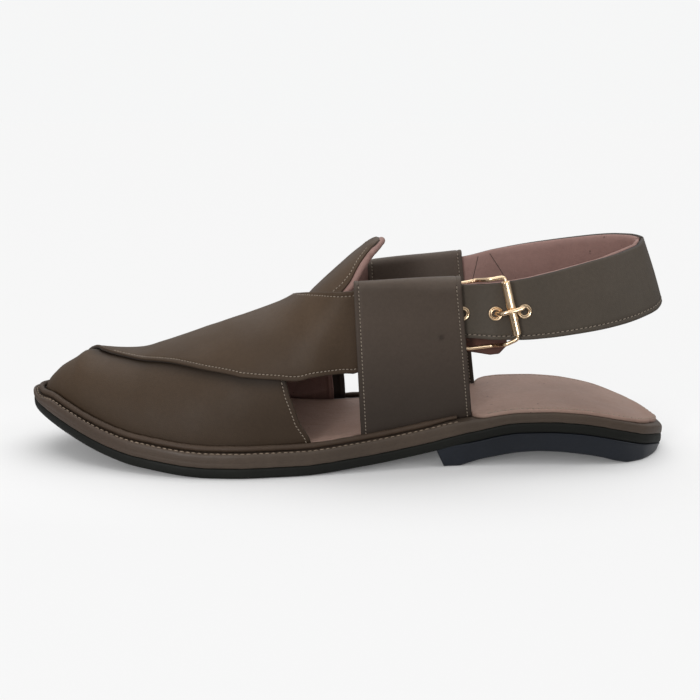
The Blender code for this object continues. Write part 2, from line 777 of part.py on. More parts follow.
def strap_point(frames, i, up_share, out_share):
    low, up, out, width, thick = (value[i] for value in frames)
    middle = low + up * width * up_share
    side = -1 if middle[1] < 0 else 1
    depth = STRAP_DEPTH_LATERAL if side < 0 else STRAP_DEPTH_MEDIAL
    rear = loop_front(side) - LOOP_WIDTH
    lead = smooth((REST_BACK - middle[0] - rear + 16) / 12)
    target = loop_side(side, middle[0], middle[2], depth)
    middle = middle + np.array([0, lead * (target - middle[1]), 0])
    return middle + out * thick * out_share


def build_heel_strap(where, cutters, looks):
    steps = np.linspace(0, 1, 41)
    frames = strap_frames(steps)
    size = len(STRAP_SECTION["up"])
    points, faces = [], []
    for i in range(len(steps)):
        for up_share, out_share in zip(STRAP_SECTION["up"], STRAP_SECTION["out"]):
            points.append(strap_point(frames, i, up_share, out_share))
    for i in range(len(steps) - 1):
        for k in range(size):
            a, b = i * size + k, i * size + (k + 1) % size
            faces.append((b, a, a + size, b + size))
    last = (len(steps) - 1) * size
    faces.append(tuple(range(size)))
    faces.append(tuple(last + k for k in range(size))[::-1])
    strap = add_mesh("heel_strap", points, faces, where, looks["leather"])

    for number, name in enumerate(("eyelet_rear", "eyelet_middle", "eyelet_front")):
        back = EYELET_BACK + (number - 1) * EYELET_PITCH
        centre, out, thick = strap_spot(frames, back, EYELET_UP)
        turned = (PAD_BULGE * thick + CLEAR + 0.05, EYELET_RADIUS, EYELET_HOLE + EYELET_WALL)
        profile = [
            (EYELET_HOLE, turned[0] + EYELET_WALL),
            (EYELET_RADIUS, turned[0] + EYELET_WALL),
            (EYELET_RADIUS, turned[0]),
            (turned[2], turned[0]),
            (turned[2], -thick / 2),
            (EYELET_HOLE, -thick / 2),
        ]
        turned_ring(name, profile, centre, out, where, looks["brass"], 14)
        bpy.ops.mesh.primitive_cylinder_add(vertices=14, radius=MM * (turned[2] + CLEAR), depth=MM * 3 * thick)
        cutter = bpy.context.object
        place_on(cutter, centre, out)
        cutter.name = name + "_hole"
        for holder in list(cutter.users_collection):
            holder.objects.unlink(cutter)
        cutters.objects.link(cutter)
        cutter.hide_render = True
        cutter.display_type = "WIRE"
        cut = strap.modifiers.new(cutter.name, "BOOLEAN")
        cut.operation = "DIFFERENCE"
        cut.object = cutter
    return frames


def strap_spot(frames, back, up_share):
    """Middle of the heel strap at this distance from the heel end on the lateral side, with its outward direction."""
    low, up, out, width, thick = frames
    half = len(low) * 6 // 10
    xs = [float(strap_point(frames, i, up_share, 0)[0]) for i in range(half)]
    i = float(np.interp(REST_BACK - back, xs, range(half)))
    a, t = int(i), i - int(i)
    spot = (1 - t) * strap_point(frames, a, up_share, 0) + t * strap_point(frames, a + 1, up_share, 0)
    normal = (1 - t) * out[a] + t * out[a + 1]
    return spot, normal / np.linalg.norm(normal), float((1 - t) * thick[a] + t * thick[a + 1])


def place_on(thing, centre, out):
    thing.location = [MM * value for value in centre]
    thing.rotation_mode = "QUATERNION"
    thing.rotation_quaternion = Vector(out).to_track_quat("Z", "Y")


def turned_ring(name, profile, centre, out, where, look, steps):
    """Closed profile of (radius, height) points turned about its own Z axis."""
    mesh = bpy.data.meshes.new(name)
    count = len(profile)
    mesh.from_pydata([(MM * r, 0, MM * h) for r, h in profile], [(k, (k + 1) % count) for k in range(count)], [])
    ring = add_object(name, mesh, where, look)
    turn = ring.modifiers.new("turn", "SCREW")
    turn.steps = turn.render_steps = steps
    turn.use_merge_vertices = True
    turn.merge_threshold = 1e-5
    place_on(ring, centre, out)
    return ring


def build_buckle(where, looks, frames):
    def layer(back, z, depth):
        x = REST_BACK - back
        return np.array([x, float(loop_side(-1, x, z, depth)), z])

    spot, _, thick = strap_spot(frames, BUCKLE_BACK, 0.3)
    outer = spot[1] - PAD_BULGE * thick - CLEAR - ROLLER_RADIUS
    crossing = spot[1] - PAD_BULGE * thick - CLEAR - WIRE_RADIUS
    _, _, thin = strap_spot(frames, BUCKLE_BACK + BUCKLE_LENGTH, 0.5)
    inner = STRAP_DEPTH_LATERAL + PAD_BULGE * thin + CLEAR + WIRE_RADIUS
    slope = 0.258 * BUCKLE_HEIGHT
    left = BUCKLE_BACK + BUCKLE_LENGTH
    high = BUCKLE_LOW + BUCKLE_HEIGHT
    inside = layer(left, 0.5 * (BUCKLE_LOW + high), inner)[1]
    floor, roof = (layer(left, z, inner)[1] for z in (BUCKLE_LOW - 6, high - 3))
    corners = [
        (left, floor, BUCKLE_LOW - 6.0),
        (left, inside, 0.5 * (BUCKLE_LOW + high)),
        (left, roof, high - 3.2),
        (left - 0.20 * BUCKLE_LENGTH, roof + 0.2, high - 0.9),
        (left - 0.30 * BUCKLE_LENGTH, roof, high - 0.2),
        (left - 0.48 * BUCKLE_LENGTH, crossing - 0.4, high + 0.4),
        (BUCKLE_BACK + slope + 0.5, outer, high + 0.9),
        (BUCKLE_BACK, outer, BUCKLE_LOW - 1.0),
        (left - 0.792 * BUCKLE_LENGTH, crossing - 0.6, BUCKLE_LOW - 3.3),
        (left - 0.640 * BUCKLE_LENGTH, floor - 1.2, BUCKLE_LOW - 4.5),
        (left - 0.240 * BUCKLE_LENGTH, floor, BUCKLE_LOW - 6.2),
    ]
    path = rounded([(REST_BACK - back, y, z) for back, y, z in corners], 1.1, 3)
    tube("buckle_frame", path, WIRE_RADIUS, where, looks["brass"], closed=True, resolution=1)

    foot = np.array([REST_BACK - BUCKLE_BACK, outer, BUCKLE_LOW - 1.0])
    head = np.array([REST_BACK - BUCKLE_BACK - slope - 0.5, outer, high + 0.9])
    length = float(np.linalg.norm(head - foot))
    along = (head - foot) / length
    half = 0.5 * BUCKLE_HEIGHT - 0.6
    bore = WIRE_RADIUS + CLEAR
    profile = [(bore, half), (ROLLER_RADIUS, half), (ROLLER_RADIUS, -half), (bore, -half)]
    turned_ring("buckle_roller", profile, (foot + head) / 2, along, where, looks["brass"], 16)

    hole, out, thick = strap_spot(frames, EYELET_BACK, EYELET_UP)
    under = inside
    over = outer - ROLLER_RADIUS - CLEAR - PRONG_RADIUS
    reach = EYELET_BACK - BUCKLE_BACK
    path = [
        (REST_BACK - left + WIRE_RADIUS + PRONG_RADIUS + CLEAR, under, hole[2]),
        (hole[0] - 4.0, under, hole[2]),
        (hole[0] - 1.1, under - 0.1, hole[2]),
        (hole[0] - 0.3, under - 0.9, hole[2]),
        (hole[0] + 0.1, hole[1], hole[2]),
        (hole[0] + 0.5, hole[1] - thick / 2 - 1.4, hole[2] + 0.2),
        (hole[0] + 0.21 * reach, over + 0.9, hole[2] + 0.07 * reach),
        (hole[0] + 0.44 * reach, over - 0.1, hole[2] + 0.16 * reach),
        (hole[0] + 0.89 * reach, over - 0.1, hole[2] + 0.31 * reach),
        (hole[0] + 1.20 * reach, over + 0.3, hole[2] + 0.39 * reach),
    ]
    tube("buckle_prong", path, PRONG_RADIUS, where, looks["brass"], resolution=1)

    grid = []
    deep = inner + WIRE_RADIUS + CLEAR + FLAP_THICK / 2 + 0.05
    for lead, low, top in zip(BUCKLE_FLAP["lead"], BUCKLE_FLAP["low"], BUCKLE_FLAP["top"]):
        back = BUCKLE_BACK + BUCKLE_LENGTH * lead
        heights = BUCKLE_LOW + BUCKLE_HEIGHT * np.linspace(low, top, 5)
        grid.append([layer(back, z, deep) for z in heights])
    sheet("buckle_flap", np.array(grid), FLAP_THICK, where, looks["lining"])


def main():
    for thing in list(bpy.data.objects):
        bpy.data.objects.remove(thing)
    where = bpy.data.collections.new("peshawari_chappal")
    cutters = bpy.data.collections.new("cutters")
    bpy.context.scene.collection.children.link(where)
    bpy.context.scene.collection.children.link(cutters)
    looks = {
        "leather": material("matte brown leather", (0.054, 0.042, 0.030), 0.62),
        "lining": material("rosy lining leather", (0.300, 0.180, 0.155), 0.6),
        "band": material("brown sole edge", (0.060, 0.050, 0.036), 0.55),
        "rubber": material("black rubber", (0.013, 0.013, 0.012), 0.6),
        "heel": material("dark heel rubber", (0.016, 0.019, 0.026), 0.4),
        "brass": material("polished brass", (0.62, 0.40, 0.18), 0.25, 1.0),
    }
    build_sole(where, looks)
    build_upper(where, cutters, looks)
    build_loops(where, looks)
    frames = build_heel_strap(where, cutters, looks)
    build_buckle(where, looks, frames)


main()
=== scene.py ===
"""Looks for the left peshawari chappal: leather, linings, stitches, sole edges and brass round the solids.

Lengths are millimetres until a mesh is made. The forms repeat the tables of the part's source, at more
points.
"""

import math

import bpy
import numpy as np
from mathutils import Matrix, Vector


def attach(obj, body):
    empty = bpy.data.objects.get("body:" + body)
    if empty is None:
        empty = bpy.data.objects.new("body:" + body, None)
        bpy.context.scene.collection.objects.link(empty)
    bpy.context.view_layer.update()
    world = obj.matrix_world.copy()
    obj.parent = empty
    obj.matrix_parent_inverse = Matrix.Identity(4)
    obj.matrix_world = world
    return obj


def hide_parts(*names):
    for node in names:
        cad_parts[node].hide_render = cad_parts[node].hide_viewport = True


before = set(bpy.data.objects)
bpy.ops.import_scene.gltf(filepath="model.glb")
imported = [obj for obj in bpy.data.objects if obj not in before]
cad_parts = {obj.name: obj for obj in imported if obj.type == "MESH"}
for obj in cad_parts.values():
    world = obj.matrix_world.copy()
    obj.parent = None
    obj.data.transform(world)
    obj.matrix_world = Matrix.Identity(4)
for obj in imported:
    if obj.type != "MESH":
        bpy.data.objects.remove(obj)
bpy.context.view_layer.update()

MM = 0.001

# Sole
LENGTH = 292.0
BALL_WIDTH = 94.4
REST_BACK = 16.0
TOE_SPRING = 19.5
SEAT_RISE = 15.4
OUTSOLE_THICK = 4.8
MIDSOLE_THICK = 6.0
INSOLE_THICK = 1.6
HEEL_LENGTH = 103.4
HEEL_ARCH = 6.4
BREAST_SLANT = 4.0
CLEAR = 0.3

# Bead round the forefoot
BEAD_RADIUS = 1.3
BEAD_INSET = 3.7
BEAD_LATERAL_END = 98.0
BEAD_MEDIAL_END = 93.0

# Insole
INSOLE_EDGE = 0.4
INSOLE_SPREAD = 1.6
TOE_INSET = 2.4
EAR_RADIUS = 7.0
EAR_GAP = 2.0

# Upper
WALL_INSET = 5.5
STRAP_THICK = 2.2
STRAP_STEP = 1.7
HEM_STEP = 0.4
HEM_LIFT = 1.6
INSTEP_RISE = 82.0
TONGUE_THICK = 2.0
TONGUE_SINK = 0.5

# Side loops of folded leather
LOOP_THICK = 1.6
LOOP_WIDTH = 45.0
LOOP_TOP = 82.7
LATERAL_LOOP_RISE = 1.8
MEDIAL_LOOP_RISE = 4.8
LATERAL_LOOP_FRONT = 143.4
MEDIAL_LOOP_FRONT = 136.4
LOOP_LEAN = 4.6
LOOP_TOP_LATERAL = 35.5
LOOP_TOP_MEDIAL = 34.5
LOOP_BULGE = 1.2
ARM_DEPTH = 3.3
ARM_LEAD = 17.0
ARM_CLIMB = 25.0
LOOP_FOOT_GAP = 0.6
LOOP_GAP = 3.4
BUCKLE_GAP = 7.5

# Heel strap and buckle
HEEL_STRAP_WIDTH = 29.0
HEEL_STRAP_SPAN = 33.0
HEEL_STRAP_LOW = 68.0
HEEL_STRAP_THICK = 4.2
PAD_BULGE = 0.58
STRAP_DEPTH_LATERAL = 3.95
STRAP_DEPTH_MEDIAL = 3.2
ROLLER_RADIUS = 1.8
WIRE_RADIUS = 0.8
PRONG_RADIUS = 0.75
EYELET_RADIUS = 3.1
EYELET_HOLE = 1.9
EYELET_LEAD = 14.7
EYELET_BACK = LATERAL_LOOP_FRONT - LOOP_WIDTH - EYELET_LEAD
EYELET_PITCH = 12.0
EYELET_UP = 0.47
FLAP_THICK = 1.4
BUCKLE_LENGTH = 25.0
BUCKLE_HEIGHT = 24.4
BUCKLE_LEAD = 24.2
BUCKLE_BACK = LATERAL_LOOP_FRONT - LOOP_WIDTH - BUCKLE_LEAD
BUCKLE_LOW = 59.6

# Looks only: where the photograph departs a little from the solids
TIP_DROP = 3.0
TIP_FROM = -261.0
TIP_FADE = 11.0
PEAK_LIFT = 0.35
HEEL_RIM = 2.0
FLARE = (2.4, 1.2)
LEVEL_STEPS = (0.50, 0.86)
FRONT_EYELET_SHIFT = 1.7

# Tread bars
TREAD_PITCH = 5.2
TREAD_SLANT = 0.22
TREAD_DEPTH = 0.7
TREAD_EDGE = 4.0

# Light strengths, and tones of the paper floor
PAPER = 0.925
OPEN_LIGHT = 1.13
FLOOR_TONE = 0.1
NEAR_TONE = 0.75
TOP_LIGHT = 1.6
FRONT_LIGHT = 0.35
REAR_LIGHT = 0.3
STRIP_LIGHT = 7.5
CARD_LIGHT = 0.33

# Camera, fitted to the photograph
CAMERA_TARGET = (-128.9, -11.5, 48.0)
CAMERA_DISTANCE = 433
CAMERA_LEAN = 13.5
FILM = 36.0
FOCAL_PIXELS, PICTURE_PIXELS = 968, 700


def table(columns, *rows):
    return dict(zip(columns.split(), np.array(rows, float).T))


# Plan outline. back is a share of LENGTH from the heel, the widths are shares of half of BALL_WIDTH.
OUTLINE = table(
    "back lateral medial",
    (0.000, 0.000, 0.000),
    (0.020, 0.340, 0.340),
    (0.050, 0.527, 0.510),
    (0.100, 0.638, 0.605),
    (0.150, 0.663, 0.620),
    (0.200, 0.668, 0.622),
    (0.300, 0.675, 0.622),
    (0.400, 0.733, 0.672),
    (0.500, 0.856, 0.784),
    (0.600, 0.968, 0.917),
    (0.660, 1.008, 0.989),
    (0.720, 0.989, 1.010),
    (0.800, 0.877, 0.938),
    (0.870, 0.703, 0.794),
    (0.930, 0.488, 0.601),
    (0.970, 0.280, 0.398),
    (1.000, -0.064, 0.064),
)
# Underside of the outsole. seat is a share of SEAT_RISE, toe of TOE_SPRING, band of MIDSOLE_THICK.
SIDE = table(
    "back seat toe band",
    (0.000, 0.14, 0.00, 0.60),
    (0.027, 0.39, 0.00, 0.62),
    (0.053, 0.53, 0.00, 0.66),
    (0.089, 0.72, 0.00, 0.70),
    (0.123, 0.86, 0.00, 0.70),
    (0.154, 0.95, 0.00, 0.70),
    (0.199, 1.00, 0.00, 0.70),
    (0.243, 0.985, 0.00, 0.70),
    (0.274, 0.90, 0.00, 0.74),
    (0.301, 0.78, 0.00, 0.82),
    (0.332, 0.655, 0.00, 0.93),
    (0.353, 0.56, 0.00, 1.00),
    (0.377, 0.455, 0.00, 1.00),
    (0.437, 0.250, 0.00, 1.00),
    (0.497, 0.112, 0.00, 1.00),
    (0.530, 0.040, 0.00, 1.00),
    (0.565, 0.000, 0.00, 1.00),
    (0.700, 0.000, 0.000, 1.00),
    (0.729, 0.000, 0.022, 1.00),
    (0.759, 0.000, 0.062, 1.00),
    (0.790, 0.000, 0.113, 1.00),
    (0.822, 0.000, 0.170, 1.00),
    (0.855, 0.000, 0.280, 1.00),
    (0.889, 0.000, 0.430, 1.00),
    (0.926, 0.000, 0.625, 1.00),
    (0.972, 0.000, 0.860, 1.00),
    (1.000, 0.000, 1.000, 1.00),
)
# Underside of the heel block. back is a share of HEEL_LENGTH, arch of HEEL_ARCH.
HEEL_SIDE = table(
    "back arch",
    (0.00, 0.00),
    (0.20, 0.00),
    (0.25, 0.15),
    (0.34, 0.55),
    (0.43, 0.79),
    (0.51, 0.94),
    (0.60, 1.00),
    (0.68, 0.93),
    (0.765, 0.70),
    (0.85, 0.42),
    (0.905, 0.15),
    (0.94, 0.00),
    (1.10, 0.00),
)
# Form of the foot inside the upper. rise is a share of INSTEP_RISE over the midsole.
CREST = table(
    "back rise square",
    (0.000, 1.05, 4.0),
    (0.340, 1.04, 4.0),
    (0.452, 1.01, 3.8),
    (0.479, 0.958, 3.6),
    (0.510, 0.878, 3.3),
    (0.548, 0.765, 3.0),
    (0.565, 0.708, 2.8),
    (0.579, 0.673, 2.7),
    (0.606, 0.628, 2.6),
    (0.637, 0.587, 2.5),
    (0.670, 0.551, 2.4),
    (0.702, 0.513, 2.3),
    (0.733, 0.473, 2.2),
    (0.765, 0.428, 2.1),
    (0.798, 0.377, 2.1),
    (0.829, 0.335, 2.0),
    (0.861, 0.302, 2.0),
    (0.897, 0.272, 2.0),
    (0.925, 0.248, 2.0),
    (0.942, 0.195, 2.0),
    (0.959, 0.145, 2.0),
    (0.975, 0.096, 2.0),
    (0.990, 0.054, 2.0),
    (1.000, 0.000, 2.0),
)
# Rear edge of the under strap, from the lateral sole over the vamp. turn goes round the foot form.
UNDER_REAR = table(
    "turn back",
    (0.000, 0.548),
    (0.014, 0.558),
    (0.030, 0.566),
    (0.057, 0.572),
    (0.096, 0.580),
    (0.140, 0.585),
    (0.220, 0.590),
    (0.400, 0.592),
    (0.600, 0.588),
    (0.880, 0.538),
    (0.930, 0.528),
    (1.000, 0.517),
)
# The under strap's arm to the medial loop: its upper and lower edges, from the vamp rearwards.
UNDER_ARM = table(
    "step upper_back upper_turn lower_back lower_turn",
    (0.00, 0.588, 0.600, 0.538, 0.880),
    (0.30, 0.550, 0.665, 0.510, 0.915),
    (0.55, 0.520, 0.712, 0.485, 0.935),
    (0.80, 0.482, 0.762, 0.455, 0.950),
    (1.00, 0.420, 0.797, 0.420, 0.956),
)
# The over strap's two edges, from the medial sole over the vamp to the lateral loop.
OVER_FRONT = table(
    "step back turn",
    (0.00, 0.965, 1.000),
    (0.06, 0.944, 0.750),
    (0.13, 0.905, 0.495),
    (0.16, 0.886, 0.458),
    (0.20, 0.862, 0.432),
    (0.30, 0.789, 0.342),
    (0.40, 0.717, 0.257),
    (0.50, 0.654, 0.192),
    (0.62, 0.594, 0.148),
    (0.75, 0.535, 0.096),
    (0.88, 0.488, 0.058),
    (1.00, 0.447, 0.045),
)
OVER_REAR = table(
    "step back turn",
    (0.00, 0.500, 1.000),
    (0.08, 0.505, 0.965),
    (0.16, 0.512, 0.920),
    (0.26, 0.530, 0.850),
    (0.38, 0.556, 0.740),
    (0.50, 0.571, 0.600),
    (0.58, 0.571, 0.500),
    (0.66, 0.559, 0.445),
    (0.74, 0.535, 0.365),
    (0.82, 0.515, 0.309),
    (0.90, 0.488, 0.256),
    (1.00, 0.447, 0.214),
)
# Half width of the tongue as a turn either side of the crest, from its root to its tip.
TONGUE = table(
    "step back half",
    (0.00, 0.660, 0.140),
    (0.30, 0.600, 0.170),
    (0.60, 0.540, 0.200),
    (0.78, 0.505, 0.205),
    (0.85, 0.491, 0.190),
    (0.90, 0.479, 0.136),
    (0.94, 0.469, 0.100),
    (0.98, 0.454, 0.052),
    (1.00, 0.446, 0.012),
)
# Heel strap from the lateral loop round the heel to the medial loop, at its lower edge. back is a share of
# LENGTH, side of HEEL_STRAP_SPAN, low of HEEL_STRAP_LOW, wide and thick of the strap's width and thickness,
# and lean is the inward tilt in degrees.
HEEL_STRAP = table(
    "step back side low lean wide thick",
    (0.00, 0.410, -0.970, 0.846, 0.0, 0.810, 0.55),
    (0.08, 0.335, -0.970, 0.846, 0.0, 0.815, 0.55),
    (0.15, 0.288, -0.985, 0.846, 1.0, 0.840, 0.60),
    (0.21, 0.250, -0.985, 0.846, 3.0, 0.895, 0.70),
    (0.28, 0.212, -0.950, 0.853, 6.0, 0.950, 0.90),
    (0.35, 0.171, -0.895, 0.870, 9.0, 1.000, 1.00),
    (0.41, 0.130, -0.810, 0.890, 12.0, 1.040, 1.00),
    (0.47, 0.092, -0.690, 0.915, 15.0, 1.055, 1.00),
    (0.52, 0.061, -0.530, 0.941, 17.5, 1.055, 1.00),
    (0.57, 0.034, -0.320, 0.970, 19.0, 1.050, 1.00),
    (0.62, 0.019, 0.000, 1.000, 19.7, 1.050, 1.00),
    (0.67, 0.034, 0.320, 1.010, 19.0, 1.050, 1.00),
    (0.71, 0.061, 0.530, 1.005, 17.5, 1.045, 1.00),
    (0.75, 0.092, 0.690, 0.990, 15.0, 1.035, 1.00),
    (0.80, 0.130, 0.810, 0.968, 12.0, 1.015, 1.00),
    (0.85, 0.171, 0.895, 0.945, 9.0, 0.990, 1.00),
    (0.89, 0.212, 0.940, 0.925, 6.0, 0.960, 0.85),
    (0.93, 0.260, 0.950, 0.902, 2.0, 0.910, 0.65),
    (0.97, 0.315, 0.920, 0.880, 0.0, 0.830, 0.55),
    (1.00, 0.385, 0.920, 0.872, 0.0, 0.790, 0.55),
)


def bend(xs, ys, x):
    """Smooth curve through the rows of a table that never overshoots them."""
    steps = np.diff(xs)
    slopes = np.diff(ys) / steps
    tangents = np.concatenate([slopes[:1], np.zeros(len(steps) - 1), slopes[-1:]])
    for i in range(1, len(steps)):
        if slopes[i - 1] * slopes[i] > 0:
            before, after = 2 * steps[i] + steps[i - 1], steps[i] + 2 * steps[i - 1]
            tangents[i] = (before + after) / (before / slopes[i - 1] + after / slopes[i])
    x = np.clip(x, xs[0], xs[-1])
    i = np.clip(np.searchsorted(xs, x, side="right") - 1, 0, len(steps) - 1)
    s = (x - xs[i]) / steps[i]
    return (
        (1 + 2 * s) * (1 - s) ** 2 * ys[i]
        + s * (1 - s) ** 2 * steps[i] * tangents[i]
        + s * s * (3 - 2 * s) * ys[i + 1]
        + s * s * (s - 1) * steps[i] * tangents[i + 1]
    )


def station_of(share):
    """Even steps of a station crowd towards both ends, where the outline turns."""
    return np.arccos(1 - 2 * np.clip(share, 0, 1)) / math.pi


def share_of(station):
    """Share of LENGTH from the heel at this station."""
    return (1 - np.cos(math.pi * np.asarray(station, float))) / 2


def read(rows, column, share):
    return bend(rows["back"], rows[column], np.asarray(share, float))


def rim(station, side):
    """Point of the plan outline on the lateral (-1) or medial (1) side."""
    station = np.asarray(station, float)
    column = OUTLINE["lateral" if side < 0 else "medial"]
    half = bend(station_of(OUTLINE["back"]), column, station) * BALL_WIDTH / 2
    return np.stack([REST_BACK - LENGTH * share_of(station), side * half], -1)


def inset_rim(station, side, inset):
    """Point of the plan outline moved inwards."""
    station = np.asarray(station, float)
    ahead = rim(np.clip(station + 1e-4, 0, 1), side)
    behind = rim(np.clip(station - 1e-4, 0, 1), side)
    along = ahead - behind
    along /= np.linalg.norm(along, axis=-1, keepdims=True)
    outward = np.stack([side * along[..., 1], -side * along[..., 0]], -1)
    return rim(station, side) - outward * np.asarray(inset, float)[..., None]


def share_at(x):
    return (REST_BACK - np.asarray(x, float)) / LENGTH


def sole_bottom(x):
    share = share_at(x)
    return SEAT_RISE * read(SIDE, "seat", share) + TOE_SPRING * read(SIDE, "toe", share)


def sole_top(x):
    return sole_bottom(x) + OUTSOLE_THICK


def band_top(x):
    """Top of the band, worn lower at the very tip of the toe."""
    top = sole_top(x) + CLEAR + MIDSOLE_THICK * read(SIDE, "band", share_at(x))
    return top - TIP_DROP * smooth((TIP_FROM - x) / TIP_FADE)


def heel_bottom(x):
    share = (REST_BACK - np.asarray(x, float)) / HEEL_LENGTH
    return HEEL_ARCH * read(HEEL_SIDE, "arch", share)


def hem_height(x):
    """Lowest edge of the upper: clear of the midsole, also where that climbs to the toe."""
    slope = abs(band_top(x + 1) - band_top(x - 1)) / 2
    return band_top(x) + CLEAR + HEM_LIFT * slope


def last_point(back, turn):
    """Point of the foot form: back is a share of LENGTH, turn runs from 0 (lateral) over to 1 (medial)."""
    back, turn = np.broadcast_arrays(np.asarray(back, float), np.asarray(turn, float))
    station = station_of(back)
    inner = WALL_INSET + STRAP_THICK
    low = inset_rim(station, -1, inner)
    high = inset_rim(station, 1, inner + STRAP_STEP)
    square = bend(CREST["back"], CREST["square"], back)
    rise = bend(station_of(CREST["back"]), CREST["rise"], station) * INSTEP_RISE
    angle = math.pi * turn
    across = (1 - np.sign(np.cos(angle)) * np.abs(np.cos(angle)) ** (2 / square)) / 2
    up = np.abs(np.sin(angle)) ** (2 / square)
    plan = low + (high - low) * across[..., None]
    z = hem_height(plan[..., 0]) + rise * up
    return np.concatenate([plan, z[..., None]], -1)


def foot_normal(back, turn):
    """Outward direction of the foot form."""
    back, turn = np.broadcast_arrays(np.asarray(back, float), np.asarray(turn, float))
    step = 1e-3
    along = last_point(np.clip(back + step, 0, 0.9999), turn) - last_point(np.clip(back - step, 0, 1), turn)
    round_it = last_point(back, np.clip(turn + step, 0, 1)) - last_point(back, np.clip(turn - step, 0, 1))
    normal = np.cross(round_it, along)
    return normal / np.maximum(np.linalg.norm(normal, axis=-1, keepdims=True), 1e-9)


def smooth(t):
    t = np.clip(t, 0, 1)
    return t * t * (3 - 2 * t)


def loop_base(side, x):
    """Outer face of a side loop where it meets the midsole, and its height there."""
    station = station_of(share_at(x))
    return inset_rim(station, side, WALL_INSET)[..., 1], band_top(x) + CLEAR


def loop_front(side):
    return LATERAL_LOOP_FRONT if side < 0 else MEDIAL_LOOP_FRONT


def loop_top(side, x):
    rise = LATERAL_LOOP_RISE if side < 0 else MEDIAL_LOOP_RISE
    return LOOP_TOP + rise * (loop_front(side) - REST_BACK + np.asarray(x, float)) / LOOP_WIDTH


def loop_side(side, x, z, depth):
    """Sideways place of a sheet that lies this deep inside a side loop."""
    low, base = loop_base(side, x)
    height = (z - base) / (loop_top(side, x) - base)
    top = side * (LOOP_TOP_LATERAL if side < 0 else LOOP_TOP_MEDIAL)
    flat = low + (top - low) * np.clip(height, 0, 1.2)
    return flat + side * LOOP_BULGE * np.sin(math.pi * np.clip(height, 0, 1)) - side * depth


def wall_point(back, turn, lift):
    """Point of the upper at this height over the foot form, led into the side loops at the arms' ends."""
    back, turn = np.broadcast_arrays(np.asarray(back, float), np.asarray(turn, float))
    form = last_point(back, turn)
    point = form + lift * foot_normal(back, turn)
    low = np.clip(1 - (form[..., 2] - hem_height(form[..., 0])) / ARM_CLIMB, 0, 1)
    point[..., 2] += low * (hem_height(point[..., 0]) - hem_height(form[..., 0]))
    for side, level in ((-1, turn), (1, 1 - turn)):
        front = REST_BACK - loop_front(side)
        weight = smooth((point[..., 0] - front + ARM_LEAD) / (0.85 * ARM_LEAD)) * smooth((0.43 - level) / 0.1)
        weight = weight * smooth((point[..., 2] - band_top(point[..., 0])) / ARM_CLIMB)
        target = loop_side(side, point[..., 0], point[..., 2], ARM_DEPTH)
        point[..., 1] += weight * (target - point[..., 1])
    return point


def side_at(x, side, inset):
    """Sideways place of the inset outline at these x, which lie inside it."""
    station = np.linspace(0, 1, 1201)
    ring = inset_rim(station, side, np.full(len(station), inset))
    return np.interp(-np.asarray(x), -ring[:, 0], ring[:, 1])


def rounded(corners, radius, steps=4):
    """Closed path with its corners turned to arcs."""
    corners = [np.array(corner, float) for corner in corners]
    path = []
    for i, corner in enumerate(corners):
        before, after = corners[i - 1] - corner, corners[(i + 1) % len(corners)] - corner
        before, after = before / np.linalg.norm(before), after / np.linalg.norm(after)
        start, end = corner + before * radius, corner + after * radius
        for t in np.linspace(0, 1, steps):
            path.append((1 - t) ** 2 * start + 2 * t * (1 - t) * corner + t * t * end)
    return path


def strap_frames(steps):
    """Lower edge, upward direction, outward direction, width and thickness of the heel strap."""
    row = {key: bend(HEEL_STRAP["step"], HEEL_STRAP[key], steps) for key in HEEL_STRAP}
    low = np.column_stack([
        REST_BACK - LENGTH * row["back"], HEEL_STRAP_SPAN * row["side"], HEEL_STRAP_LOW * row["low"]
    ])
    along = np.gradient(low, axis=0)
    along[:, 2] = 0
    along /= np.linalg.norm(along, axis=1, keepdims=True)
    inward = np.column_stack([-along[:, 1], along[:, 0], np.zeros(len(steps))])
    lean = np.radians(row["lean"])[:, None]
    up = np.cos(lean) * np.array([0, 0, 1.0]) + np.sin(lean) * inward
    out = np.sin(lean) * np.array([0, 0, 1.0]) - np.cos(lean) * inward
    return low, up, out, HEEL_STRAP_WIDTH * row["wide"], HEEL_STRAP_THICK * row["thick"]


def strap_line(frames, up_share, out_share):
    """Line along the whole heel strap at one place of its section."""
    low, up, out, width, thick = frames
    middle = low + up * (width * up_share)[:, None]
    ends = []
    for side, depth in ((-1, STRAP_DEPTH_LATERAL), (1, STRAP_DEPTH_MEDIAL)):
        rear = loop_front(side) - LOOP_WIDTH
        lead = smooth((REST_BACK - middle[:, 0] - rear + 16) / 12)
        ends.append(middle[:, 1] + lead * (loop_side(side, middle[:, 0], middle[:, 2], depth) - middle[:, 1]))
    middle = np.column_stack([middle[:, 0], np.where(middle[:, 1] < 0, ends[0], ends[1]), middle[:, 2]])
    return middle + out * (thick * out_share)[:, None]


def strap_spot(frames, back, up_share):
    """Middle of the heel strap this far forward on the lateral side, its outward direction and thickness."""
    line = strap_line(frames, up_share, 0)
    half = len(line) * 6 // 10
    at = float(np.interp(REST_BACK - back, line[:half, 0], range(half)))
    i, t = int(at), at - int(at)
    spot, out, thick = ((1 - t) * values[i] + t * values[i + 1] for values in (line, frames[2], frames[4]))
    return spot, out / np.linalg.norm(out), float(thick)


def rng(seed):
    return np.random.default_rng(seed)


def unit(v):
    return v / np.maximum(np.linalg.norm(v, axis=-1, keepdims=True), 1e-9)


def put(name, data):
    thing = bpy.data.objects.new(name, data)
    bpy.context.scene.collection.objects.link(thing)
    return thing


